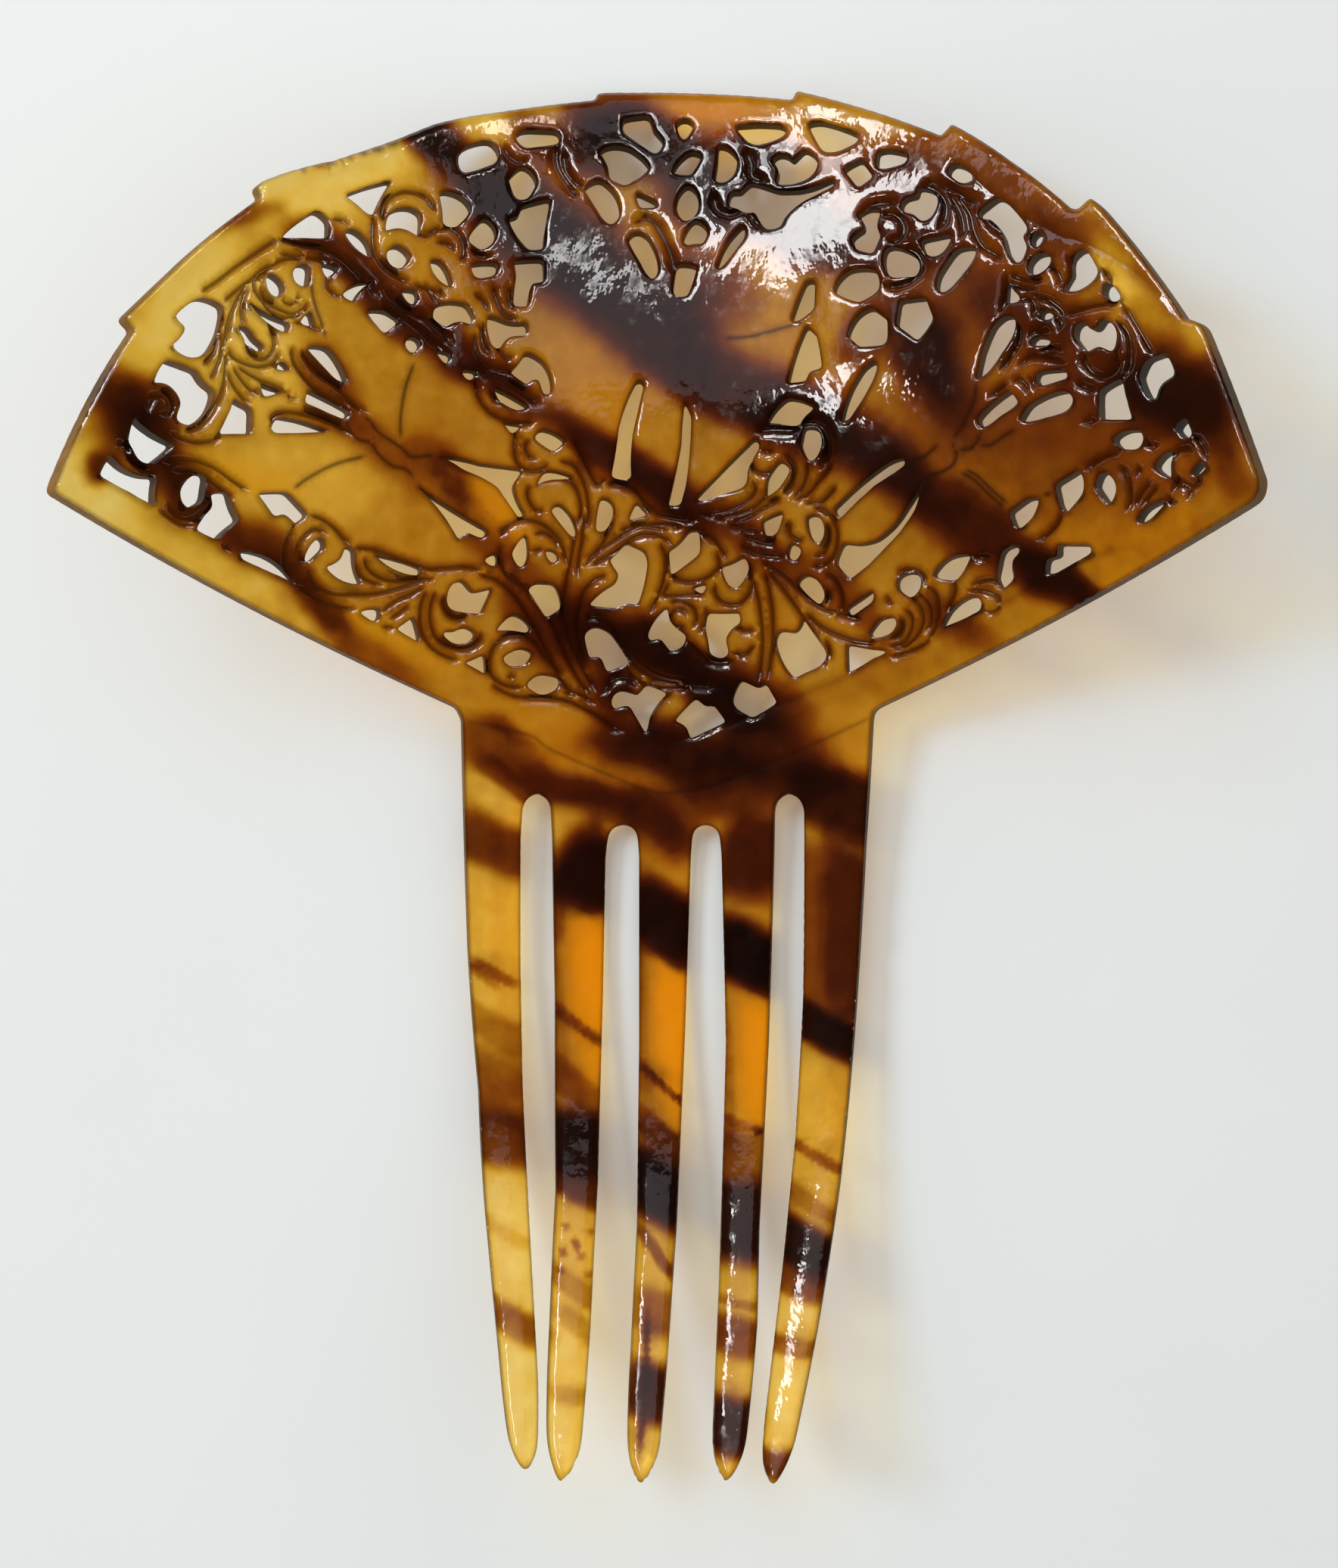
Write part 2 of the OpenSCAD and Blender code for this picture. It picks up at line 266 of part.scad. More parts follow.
right_wings = [
  [[27.8, 37.4, 0], [30.4, 39.6, 0.1], [35.6, 43.2, 0.2], [38.8, 44.3, 0.1], [39.3, 43.4, 0.1],
    [34.6, 40.8, -0.1], [28.7, 36, 0]],
  [[27.9, 29.8, 0.1], [29.2, 32.6, 0], [31.4, 32.3, -0.1], [34.4, 32.8, -0.2], [38, 35.6, 0],
    [41.6, 40.3, 0.1], [40.6, 37, 0.1], [37.6, 33.4, 0], [33, 29.4, 0], [30.1, 27.4, 0.1]],
  [[29.2, 49.8, 0.1], [30.4, 53.6, 0.1], [32.4, 56.9, 0.2], [34.5, 58.3, 0.1], [34.9, 57.2, 0.1],
    [33.2, 53.8, 0], [30.4, 50, 0]],
  [[30.1, 62.1, 0.1], [30.8, 63.8, 0.2], [32.6, 65.6, 0.1], [34, 66, 0], [36.4, 64.2, 0.1],
    [36.4, 61, 0], [35.8, 60.5, 0], [32, 60.4, 0], [31.2, 61.2, 0]],
  [[37.8, 63.4, 0], [38.3, 66.8, 0], [42.4, 67, 0], [43.7, 63.8, 0.1], [41.3, 60.8, 0]],
  [[55, 65.3, 0], [55.1, 68.3, 0.1], [56.2, 67, 0], [57.4, 65.9, 0.1], [56.4, 65.1, 0]],
  [[50.6, 54.8, 0], [51.4, 58.2, 0.1], [53.2, 62.2, 0], [54.6, 63.3, 0.2], [56.7, 63, 0.1],
    [56.7, 61.6, 0.2], [54.6, 58.2, 0.1], [52.4, 55.6, 0.1]],
  [[50.7, 49.2, 0.1], [53, 51.2, 0.1], [55.9, 52.9, 0], [57.3, 51.1, 0.1], [54.6, 49.5, 0.1],
    [51.6, 47.9, 0.1]],
  [[59.8, 54.2, 0.1], [60.2, 55.1, 0.1], [64.6, 55.1, 0.1], [65.1, 53.9, 0], [61, 53.1, 0.1]],
  [[57.4, 48.8, 0], [58.8, 50.6, 0.1], [61.8, 51.8, 0.1], [64.6, 52.2, 0.2], [66, 50.9, 0.3],
    [64.2, 49.2, 0.1], [58.4, 48.3, 0]],
  [[60.4, 62.9, 0.1], [60.7, 63.9, 0.1], [61.9, 63.5, 0.1], [62.6, 62.6, 0.1], [61.6, 62.3, 0.1]],
  [[59, 59.2, 0.2], [59.8, 60.2, 0.1], [62.2, 59.5, 0.1], [62.2, 58.8, 0], [60.2, 58.8, 0.1]],
];
right_foot = [
  [[29.3, 23.2, 0], [33.6, 25.8, 0.2], [33.5, 24.2, 0], [30.2, 22.2, 0.1]],
  [[29.2, 18.1, 0], [33, 17.4, 0.1], [35.4, 17, 0.1], [33.4, 16.2, 0.1], [29.2, 14, 0]],
  [[32.7, 19.6, 0], [34.4, 21.6, 0.1], [36.6, 22, 0.1], [37.1, 21, 0.1], [36, 19.6, 0.1],
    [33.8, 19, 0.1]],
  [[37.4, 25.9, 0.1], [37.5, 27.4, 0.2], [39.6, 28.1, 0.2], [41.2, 27.3, 0], [41, 26, 0.2],
    [39.4, 24.6, 0.1]],
  [[43.9, 20.2, 0.1], [45.4, 22.6, 0.2], [48.4, 24.5, 0.2], [50.3, 24.1, 0.1], [50.2, 22.6, 0],
    [47, 21.3, 0]],
  [[43, 27.7, 0.1], [44.6, 29.4, 0.2], [47, 30.3, 0.1], [49.2, 30.3, 0], [48.2, 28.6, 0.1],
    [46.7, 26.9, 0.1], [43.9, 27.2, 0]],
  [[52.8, 27, 0], [53.5, 29.4, 0.1], [54.2, 30.9, 0.1], [56.2, 31.4, 0.1], [56.8, 30.6, 0],
    [55.5, 29.5, -0.2], [55.7, 26.9, 0.1], [53.6, 25.3, 0]],
  [[55.4, 36, 0], [58.2, 37.7, 0.1], [60.2, 37.6, 0.1], [59.2, 35.4, 0.1], [57, 33.6, 0.1],
    [56, 34.2, 0]],
  [[60.4, 27.3, 0], [60.8, 29.3, 0], [62.6, 29.6, -0.1], [62.6, 31.2, 0], [67.6, 30.9, 0.2],
    [67.8, 29.8, 0], [62, 27.3, 0]],
];
far_right = [
  [[65.9, 59.6, 0], [66.1, 61, 0.1], [67.3, 61.6, 0.1], [68.4, 60.4, -0.1], [69.6, 60.4, 0],
    [70.4, 61.7, 0.1], [72.2, 60.6, 0.3], [72.6, 58.2, 0.2], [72, 56.9, 0], [70, 57.9, -0.1],
    [68.2, 57.2, 0.1], [67, 58.2, 0]],
  [[76.2, 53.2, 0], [77.2, 55.2, 0.1], [79.9, 55.8, 0.1], [81, 55, 0.1], [81.9, 52.8, 0],
    [80, 52, -0.2], [79, 49.9, 0.1], [78, 49.8, 0.1], [76.8, 51.6, 0]],
  [[69.9, 48, 0], [69.9, 51.7, 0.1], [73.6, 53.2, 0], [74.2, 50.2, 0], [75.2, 47.4, 0], [70.8, 47.8, 0]],
  [[71.9, 45, 0.2], [74, 46, 0.1], [76.2, 45.8, 0.2], [76.8, 44.6, 0.2], [75.6, 43.3, 0],
    [73.2, 43.6, 0.1]],
  [[62.7, 39.4, 0], [66.4, 41.2, 0.1], [67.2, 39.9, 0], [67.1, 38.2, 0.1], [65.6, 36.6, 0],
    [64.2, 35.4, 0], [63.3, 36.4, 0]],
  [[69, 38.9, 0.1], [70, 40.7, 0.2], [71.6, 39.9, 0.2], [72.1, 38.2, 0.2], [71.1, 36.2, 0.1],
    [70, 37.5, 0]],
  [[78.2, 40.8, 0.1], [79.4, 42.2, 0.1], [81.3, 42.8, 0], [80.9, 40.8, 0], [80.9, 39, 0], [79.4, 39.8, 0]],
  [[83.8, 39.6, 0], [85.6, 41.1, 0.1], [86.5, 40.1, 0.1], [84.6, 39, 0]],
  [[81.7, 45.7, 0.1], [83.2, 47, 0.1], [84, 46, 0], [84.4, 44.7, 0.1], [83.4, 44.1, 0.1]],
  [[75.1, 33.8, 0.1], [76.6, 35.4, 0.1], [79.8, 36.4, 0.2], [78.6, 34.8, 0.1], [76.4, 33.5, 0.1]],
];
fret = concat(far_left, left_top, left_wings, left_foot, middle_top, middle_wings, middle_foot,
              right_top, right_wings, right_foot, far_right);

// Height of the sheet's back over the lowest line of the belly, from the two curves along the comb
turn_slope = (turn_y - belly_y) / teeth_radius;
function arc_height(radius, slope) = radius * sqrt(1 - slope * slope);
function belly_rise(y) = teeth_radius - arc_height(teeth_radius, (y - belly_y) / teeth_radius);
function fan_slope(y) = turn_slope - (y - turn_y) / fan_radius;
function fan_rise(y) =
  belly_rise(turn_y) + arc_height(fan_radius, fan_slope(y)) - arc_height(fan_radius, turn_slope);
function rise(y) = y < turn_y ? belly_rise(y) : fan_rise(y);
highest_rise = belly_rise(turn_y) + fan_radius - arc_height(fan_radius, turn_slope);
function thickness(y) =
  y > taper_y ? sheet : sheet + (tip_sheet - sheet) * (taper_y - y) / (taper_y - tip_y);

// The comb is lifted where the fan's edge would otherwise reach below the belly
axis_z = bowl_radius + max(0, -rise(top_y));

// Sizes across the sheet turned to degrees round the bowl
function turn_of(across) = across / bowl_radius * 180 / PI;
half_turn = turn_of(max([for (corner = outline) abs(corner.x)])) + spare_turn;
function middle_radius(y) = bowl_radius - rise(y) - thickness(y) / 2;

// Rings of corners with bowed sides turned into plain outlines
function signed_area(ring) =
  let(n = len(ring))
  [for (i = [0 : n - 1]) ring[i].x * ring[(i + 1) % n].y - ring[(i + 1) % n].x * ring[i].y]
  * [for (i = [0 : n - 1]) 1 / 2];
function bow_steps(bow) = bow == 0 ? 1 : (abs(bow) > deep_bow ? deep_steps : shallow_steps);
function bowed_side(a, b, outward) =
  let(
    n = max(ceil(abs(b.x - a.x) / longest_step), bow_steps(a.z)),
    span = [b.x - a.x, b.y - a.y],
    normal = [span.y, -span.x] / norm(span) * outward
  )
  [for (i = [0 : n - 1]) let(t = i / n) [a.x, a.y] + span * t + normal * a.z * 4 * t * (1 - t)];
function bowed_ring(ring) =
  let(n = len(ring), outward = sign(signed_area(ring)))
  [for (i = [0 : n - 1]) each bowed_side(ring[i], ring[(i + 1) % n], outward)];
function middle_across(ring) = ([for (corner = ring) corner.x] * [for (corner = ring) 1]) / len(ring);

// The bent sheet before anything is cut from it: its side view turned about the axis of the bowl
module bent_sheet() {
  low = tip_y - spare_along;
  high = top_y + spare_along;
  along = concat(
    [for (i = [0 : teeth_steps]) low + (turn_y - low) * i / teeth_steps],
    [for (i = [1 : fan_steps]) turn_y + (high - turn_y) * i / fan_steps]
  );
  back = [for (y = along) [bowl_radius - rise(y), y]];
  front = [for (i = [len(along) - 1 : -1 : 0]) back[i] - [thickness(along[i]), 0]];
  rotate([-90, 0, 0])
    rotate([0, 0, 90 - half_turn])
      rotate_extrude(angle = 2 * half_turn, $fn = bowl_facets)
        polygon(concat(back, front));
}

// Everything inside the outline, widening from the axis of the bowl so that the cut edges stand square
module outline_cone() {
  far = bowl_radius + spare_along;
  near = bowl_radius / 2;
  translate([0, 0, -far])
    linear_extrude(height = far - near, scale = [near / far, 1], slices = 1)
      polygon([for (p = bowed_ring(outline)) [far * tan(turn_of(p.x)), p.y]]);
}

// One gap of the fret, cut square through the sheet at its own place round the bowl
module gap(ring) {
  middle = middle_across(ring);
  rotate([0, -turn_of(middle), 0])
    translate([0, 0, -bowl_radius - spare_through])
      linear_extrude(height = highest_rise + sheet + 2 * spare_through)
        polygon([for (p = bowed_ring(ring)) [middle_radius(p.y) * tan(turn_of(p.x - middle)), p.y]]);
}

module comb() {
  color([0.72, 0.45, 0.1])
    translate([0, -middle_y, axis_z])
      difference() {
        intersection() {
          bent_sheet();
          outline_cone();
        }
        for (ring = fret) gap(ring);
      }
}

comb();
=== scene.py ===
# %% [markdown]
# # A mantilla comb in moulded celluloid
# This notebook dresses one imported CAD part, a tall hair comb that lies on its back. The CAD model is the
# frame: it fixes the size, the bend and every gap of the fret. Blender adds what a solid model leaves out:
# the carved relief, the rounded edges, the colour in the sheet and the light.
#
# Every length in the tables is in millimetres on the flat sheet, across and along the comb, because that is
# how such a comb is drawn before it is bent. Blender itself works in metres.

import math

import bmesh
import bpy
import numpy as np
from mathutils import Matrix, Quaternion, Vector, geometry, kdtree, noise


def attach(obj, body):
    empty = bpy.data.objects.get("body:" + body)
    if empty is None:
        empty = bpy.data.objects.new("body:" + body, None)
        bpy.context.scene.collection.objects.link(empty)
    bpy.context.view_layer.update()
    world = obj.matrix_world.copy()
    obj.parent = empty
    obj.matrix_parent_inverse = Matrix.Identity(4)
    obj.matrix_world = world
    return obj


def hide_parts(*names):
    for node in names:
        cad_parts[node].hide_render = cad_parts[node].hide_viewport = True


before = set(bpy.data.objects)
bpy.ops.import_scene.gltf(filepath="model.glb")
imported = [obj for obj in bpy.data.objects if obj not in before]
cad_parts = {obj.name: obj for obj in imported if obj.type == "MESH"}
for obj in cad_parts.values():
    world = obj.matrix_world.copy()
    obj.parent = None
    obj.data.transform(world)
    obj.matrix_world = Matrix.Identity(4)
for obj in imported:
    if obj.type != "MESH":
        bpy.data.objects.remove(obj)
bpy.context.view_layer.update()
bpy.ops.object.select_all(action="DESELECT")

# %% [markdown]
# ## The camera
# The photograph was taken from straight above, from about 33 cm. So near a lens, the raised corners of the
# fan look clearly bigger than the teeth on the table, and only a camera at the real distance repeats that.
# An unturned Blender camera already looks down with +Y at the top of the picture, so it needs no rotation.

# %% Place the camera
CAMERA_PLACE = (0.0016, -0.0019, 0.330)
SENSOR_HEIGHT = 24.0
FOCAL_LENGTH = 33.64
CLOSEST_SEEN = 0.01

bpy.ops.object.camera_add(location=CAMERA_PLACE)
camera = bpy.context.object
camera.name = "studio_camera"
camera.data.sensor_fit = "VERTICAL"
camera.data.sensor_height = SENSOR_HEIGHT
camera.data.lens = FOCAL_LENGTH
camera.data.clip_start = CLOSEST_SEEN
bpy.context.scene.camera = camera
view_angle = math.degrees(2 * math.atan(SENSOR_HEIGHT / 2 / FOCAL_LENGTH))
print("camera sees", round(view_angle, 1), "degrees from top to bottom")

# %% [markdown]
# ## The bend
# The real comb was cut flat and bent in warm water. Blender's Simple Deform could bend a sheet one way, but
# this one is bent two ways, round the head and along the teeth, and it must lie exactly where the CAD solid
# lies. So the flat sheet is bent by the CAD's own two curves, as a function of the place on the sheet.

# %% Bend flat places to the comb's shape
BOWL_RADIUS = 130.0
TEETH_RADIUS = 190.0
FAN_RADIUS = 125.0
SHEET = 3.2
TIP_SHEET = 2.4
BELLY_ALONG = -20.0
TURN_ALONG = 25.0
TIP_ALONG = -101.3
TOP_ALONG = 100.75
MIDDLE_ALONG = (TOP_ALONG + TIP_ALONG) / 2
RIGHT_CORNER = (94.3, 38.2)
MM = 0.001


def arc_height(radius, slope):
    return radius * np.sqrt(np.clip(1 - np.square(slope), 0, 1))


def rise(along):
    """Height of the sheet's back over the lowest line of the belly."""
    turn_slope = (TURN_ALONG - BELLY_ALONG) / TEETH_RADIUS
    belly = TEETH_RADIUS - arc_height(TEETH_RADIUS, (along - BELLY_ALONG) / TEETH_RADIUS)
    slope = turn_slope - (along - TURN_ALONG) / FAN_RADIUS
    at_turn = TEETH_RADIUS - arc_height(TEETH_RADIUS, turn_slope)
    fan = at_turn + arc_height(FAN_RADIUS, slope) - arc_height(FAN_RADIUS, turn_slope)
    return np.where(along < TURN_ALONG, belly, fan)


def thickness(along):
    return SHEET + (TIP_SHEET - SHEET) * np.clip(along / TIP_ALONG, 0, 1)


def bend(across, along, lift):
    """Flat millimetres to metres in the frame. lift is the height over the sheet's back."""
    lowest = max(0.0, -float(rise(np.array(TOP_ALONG))))
    radius = BOWL_RADIUS - rise(along) - lift
    turn = across / BOWL_RADIUS
    up = BOWL_RADIUS + lowest - radius * np.cos(turn)
    return np.column_stack((radius * np.sin(turn), along - MIDDLE_ALONG, up)) * MM


corner = bend(*np.array(RIGHT_CORNER)[:, None], 0.0)[0]
print("right corner of the fan stands", round(corner[2] / MM, 1), "mm over the table")

# %% [markdown]
# ## The drawing of the sheet
# The border and the gaps were traced once for the CAD part, each gap as a ring of corners. Columns: across,
# along, and the bow of the side that follows, in millimetres, positive where it bulges outwards. The same
# tables stand here, because this file must work without the CAD source.

# %% Outline of the border, the tooth plate and the teeth
outline = [
    [-94.3, 36.9, 0.9], [-82.5, 58.9, 0], [-84, 60.2, 0.1], [-83.2, 61.2, 0], [-74.2, 69.8, 0.2],
    [-61.9, 80, 0], [-62.6, 81.2, 0.1], [-61.6, 82.3, 0.3], [-50, 86.9, 0], [-40, 91.3, 0],
    [-34.5, 94, 0.2], [-25, 96.6, 0.2], [-9.5, 99.4, 0], [-9.3, 100.5, 0.1], [-5, 100.75, 0.1],
    [6, 100.6, 0.2], [20.5, 99, 0], [21, 100.5, 0.1], [30, 97.4, 0.2], [43.7, 91.3, 0],
    [45.1, 93.1, 0.2], [55, 86, 0.2], [64.3, 78.2, -0.1], [65.8, 77.7, 0], [67.5, 79.2, 0.1],
    [70, 76.9, 0.3], [83.2, 60.2, 0.1], [84.6, 59.9, 0.3], [86.5, 58, 0.3], [94.3, 38.2, 0.5],
    [92.9, 35.1, 0], [33.8, 9, -0.3], [32.7, 7.3, 0], [31.3, -11.3, 0], [30, -34, 0.1],
    [28, -60.7, 0.1], [25.3, -80.7, 0.1], [22.3, -96, 0.3], [19.2, -101.1, 0.4], [17.2, -97.4, 0.1],
    [17.7, -90, 0], [19.4, -74, 0], [21.1, -54, 0], [22, -34, 0], [22.2, -10, 0],
    [22.2, -6.4, -0.7], [19.9, -3.6, -0.7], [17.6, -6.4, 0],
    [17.5, -11.3, 0], [16.7, -40.7, 0], [15.7, -67.3, 0], [15.7, -80.7, 0.1], [14.4, -96.2, 0.4],
    [11.3, -101, 0.5], [8.9, -95.6, 0], [9.6, -74, 0], [10.3, -40.7, 0], [9.6, -12.6, 0],
    [9.4, -10.5, -0.7], [7.2, -8.3, -0.7], [5.1, -10.5, 0],
    [4.9, -13, 0], [4, -40.7, 0], [2.9, -67.3, 0], [1.9, -81, 0.1], [0.3, -96.8, 0.4],
    [-2.9, -101.3, 0.5], [-5, -96, 0.1], [-4.4, -84.7, 0], [-3.3, -67.3, 0], [-2.9, -40.7, 0],
    [-2.9, -12.8, 0], [-3.1, -10.5, -0.7], [-5.3, -8.3, -0.7], [-7.7, -10.5, 0],
    [-8, -13, 0], [-8.4, -34, 0], [-9.3, -60.7, 0], [-10.7, -80.7, 0.1], [-12.6, -96.4, 0.4],
    [-16.2, -100.9, 0.5], [-18.1, -94.6, 0.1], [-17.2, -81, 0], [-15.8, -62, 0], [-15.6, -34, 0],
    [-16, -10, 0], [-16.2, -6.4, -0.7], [-18.4, -3.6, -0.7], [-20.7, -6.4, 0],
    [-20.9, -10, 0], [-20.9, -27, 0], [-20.7, -47, 0], [-20, -67, 0], [-19.3, -87, 0.1],
    [-19.7, -95.8, 0.4], [-21.9, -99.2, 0.4], [-24.4, -95, 0.1], [-25.3, -84.7, 0], [-26.7, -64.7, 0.1],
    [-27.3, -47.3, 0.1], [-28.7, -26, 0], [-29.3, -8.7, 0], [-29.9, 7.3, 0], [-30.8, 9, 0],
    [-93.6, 36, 0.2],
]

# %% Gaps of the left half
far_left = [
    [[-76.2, 61.4, 0.3], [-72, 64.4, 0.2], [-68.6, 63.6, 0.4], [-70.2, 58.2, 0.6], [-73.8, 56, 0.4],
      [-76.8, 57.4, -0.3], [-74.6, 60, 0]],
    [[-79.6, 52, 0.3], [-77.6, 55.3, 0], [-72.8, 54.2, -0.4], [-70.1, 51.8, 0.9], [-73.6, 46.9, 0.3],
      [-76, 47.4, 0.1], [-75.3, 49.4, -1.2]],
    [[-82.4, 47, -0.4], [-76.2, 44, 0.1], [-79.6, 41.2, 0.4], [-82, 42, -0.1], [-83.4, 43.8, 0.2]],
    [[-86, 41.7, -0.9], [-78.6, 39.4, -0.2], [-78.7, 35.5, 0], [-87.7, 39, 0]],
    [[-72.8, 40.2, 0.2], [-71, 40.2, 0], [-71.4, 36.8, 0.1], [-73.8, 35.6, 0.3], [-75, 37.8, 0.4]],
    [[-70.4, 37.5, 0.2], [-67.4, 38.2, -0.3], [-65.6, 34.5, -0.2], [-69, 31.5, 0], [-72.3, 32.8, 0.1],
      [-70, 35.8, -0.2]],
    [[-65.2, 30.2, 1.2], [-56.4, 26.2, 0], [-64.9, 29.1, 0.2]],
    [[-62.9, 38.2, 0.1], [-58.3, 38.6, 0], [-55, 35.7, 0], [-56.9, 34.3, -0.1], [-58.8, 35.6, -0.1],
      [-60.2, 35.1, 0]],
    [[-67.2, 51, -0.1], [-64.2, 49.7, 0], [-64.3, 46.3, 0], [-69.4, 45.9, 0], [-68.2, 48.2, -0.2]],
    [[-66.4, 61, 0.2], [-64.6, 60.8, -0.3], [-62.2, 58.6, 0.1], [-63.2, 57.6, 0.5]],
    [[-64.6, 64.6, -0.3], [-58.2, 62.2, 0.1], [-58.8, 60.7, 0.7]],
]
left_top = [
    [[-61.2, 69, 0.3], [-59, 67.4, 0.4], [-60.2, 65.6, 0.4], [-61.8, 67.4, 0.3]],
    [[-57.6, 69.4, 0.2], [-56.2, 70.8, 0.1], [-54.9, 70.6, 0.1], [-55.4, 67.6, 0.2], [-57.2, 68, 0.1]],
    [[-52.9, 71.2, 0.1], [-50.2, 70.7, 0], [-52.2, 69.1, 0.3]],
    [[-59, 74.4, 0.2], [-53.4, 78.9, 0.1], [-51.6, 77.6, 0], [-51.8, 75, 0.1]],
    [[-49.2, 75.8, 0.3], [-47.8, 76.6, 0.9], [-45.2, 72.5, 0.5]],
    [[-48.8, 81.6, 0.2], [-41.5, 84.5, -0.2], [-44.4, 79.1, 0.1], [-45.4, 79.1, 0]],
    [[-42.8, 76.8, 1.4], [-38.8, 80.6, 0.1], [-37.2, 79.8, 0.1], [-37.6, 76.2, -0.8]],
    [[-42.8, 73.2, 0.4], [-41, 74.8, 0.3], [-39, 73.2, 0], [-40.4, 71.4, 0.3], [-42.4, 72, 0.1]],
    [[-35.9, 73, 0.1], [-34.2, 72.8, 0.3], [-32.6, 69.1, 0.4], [-35.4, 71, 0.2]],
    [[-34.2, 83, 0.3], [-32.4, 83.4, 0.6], [-29.2, 81, 0.2], [-31.8, 78.1, 0], [-33.8, 78.5, -0.2]],
    [[-30.9, 89, 0.2], [-29.6, 90.8, 0.2], [-26, 91.9, 0.4], [-24.6, 89.6, 0.4], [-26.6, 87.8, 0.2],
      [-30.4, 86.6, 0.3]],
    [[-29.9, 76.2, 0.3], [-27.2, 79.8, 0.4], [-25.4, 77.6, 0.6], [-27.8, 74.9, 0.2]],
    [[-29.5, 72.6, 0.2], [-25.2, 73, 0.1], [-25.8, 71.2, 0.1], [-28.6, 70.6, 0.3]],
    [[-23.3, 85.8, 0.2], [-21, 88.2, 0.5], [-18.9, 85.6, 0.1], [-20.4, 83, 0], [-21.6, 82.7, 0.1],
      [-22.6, 83.6, 0]],
    [[-22, 92.6, 0.4], [-20.2, 94, 0.1], [-15.4, 94, 0.3], [-15.4, 92, 0.1], [-20.4, 91, 0.3]],
    [[-23.4, 79.8, 0], [-21.7, 80.4, 0], [-21.4, 81.8, 0.1], [-16.8, 83.2, 0], [-17.9, 77.4, 0],
      [-18, 75.5, 0.1], [-20.4, 75.2, 0.1], [-22.8, 78, 0.1]],
    [[-22.7, 73.4, 0.1], [-18, 73.8, 0], [-18, 70.5, 0], [-20, 70.2, -0.1], [-20.6, 66.8, 0.1],
      [-22.9, 66.8, 0.1], [-22.4, 71, 0]],
]
left_wings = [
    [[-50, 66.8, 0.6], [-44.8, 69.2, -0.6], [-48, 66, 0.2]],
    [[-40.6, 68.2, 0.2], [-38, 68.2, 0.2], [-38.6, 66.2, 0.2], [-40, 67, 0.1]],
    [[-46.2, 64.7, 0.2], [-43, 65, 0.1], [-40.8, 63.8, 0], [-43.3, 61.7, 0.1]],
    [[-40.2, 60.4, 0.3], [-38.8, 61.6, 0.2], [-37.6, 60.6, 0.1], [-38.8, 59.1, 0.3]],
    [[-35.2, 59.8, 0.1], [-32.8, 59.4, 0.1], [-33.6, 57.7, 0.2]],
    [[-35.7, 64.5, 0.7], [-33.6, 66.8, 0.2], [-30.2, 66.7, 0], [-29.1, 64.8, 0], [-29.7, 63.6, -0.7],
      [-33.6, 63.2, 0.1]],
    [[-31.2, 57, 0.2], [-28.8, 57, 0.1], [-29.8, 55.6, 0.3]],
    [[-56.5, 62.6, 0.1], [-54.9, 64.2, 0], [-54.3, 62.1, 0.1]],
    [[-60.5, 55.5, 0.2], [-59.4, 56.8, 0.1], [-58.2, 55.6, 0.1]],
    [[-55.7, 58.9, 0.3], [-52.2, 59, 0.4], [-49.2, 54.2, 0], [-50.8, 54.6, 0.1]],
    [[-55.9, 51.2, 0.1], [-55.4, 53, 0.1], [-48.9, 50.4, 0.2], [-49.8, 49.2, 0]],
    [[-61.2, 47.2, 0.3], [-59.8, 48.9, 0.3], [-52.2, 47.4, 0.1], [-60.4, 46.7, 0.1]],
    [[-62.9, 53.4, -0.1], [-59.4, 52.6, 0.1], [-62.4, 51.5, 0.1]],
    [[-34.8, 44.7, 0.2], [-28, 43.8, 0], [-21.4, 43.2, 0], [-23, 41, -0.3], [-21, 36.9, 0.1],
      [-22, 36.3, 0], [-25.4, 40.6, -0.2], [-31, 43, -0.2]],
    [[-38, 40.4, -0.2], [-26.8, 34.4, 0.2], [-27.8, 33.3, 0], [-30.2, 34.1, 0.1], [-31.4, 33, -0.4]],
]
left_foot = [
    [[-55.3, 29.6, 0.5], [-52.9, 32.7, 0.3], [-52.3, 31.2, 0], [-54.4, 29.2, 0.3]],
    [[-51.9, 28.6, -0.2], [-49.6, 29.8, 0], [-49.1, 31.4, 0.1], [-47.6, 31.2, -0.4], [-46.2, 26.4, 0.8]],
    [[-44.4, 30.5, 0.2], [-37, 28.8, 0.1], [-37.4, 27.8, 0.7]],
    [[-46.3, 22.4, 0.2], [-43.2, 23, 0.2], [-43.6, 21.1, 0.2]],
    [[-40.5, 20.2, 0], [-38, 21.9, 0.1], [-36.9, 18.4, 0.1]],
    [[-33.4, 19.6, 0.3], [-31.6, 19.9, 0.1], [-30, 20.6, 0.2], [-28.2, 19.6, 0.4], [-31, 18.2, 0.3]],
    [[-32.9, 24.6, 0.8], [-30.6, 27.3, 0], [-29, 25.6, -0.1], [-25.9, 26.3, 0], [-27.6, 22.6, 0.1],
      [-31.4, 22.9, 0.5]],
    [[-29.8, 15.5, -0.1], [-26.8, 16.8, 0], [-26.5, 13.8, 0]],
    [[-27.3, 30.2, 0.1], [-25.4, 31.3, 0.2], [-25.4, 29.4, 0.3]],
    [[-25.1, 20.2, 0.2], [-22.6, 22.5, 0.4], [-19.8, 20.6, 0.1], [-20.4, 19.9, -0.2]],
    [[-24, 16.3, 0.1], [-21.6, 17.6, 0.2], [-19.4, 17, 0.1], [-20.6, 15.3, 0.1], [-23, 15.1, 0.2]],
    [[-20.3, 12.3, 0.3], [-18, 13.9, 0.1], [-15.2, 13.4, 0.2], [-15.6, 11.8, 0.1], [-17.8, 10.9, 0.2]],
]

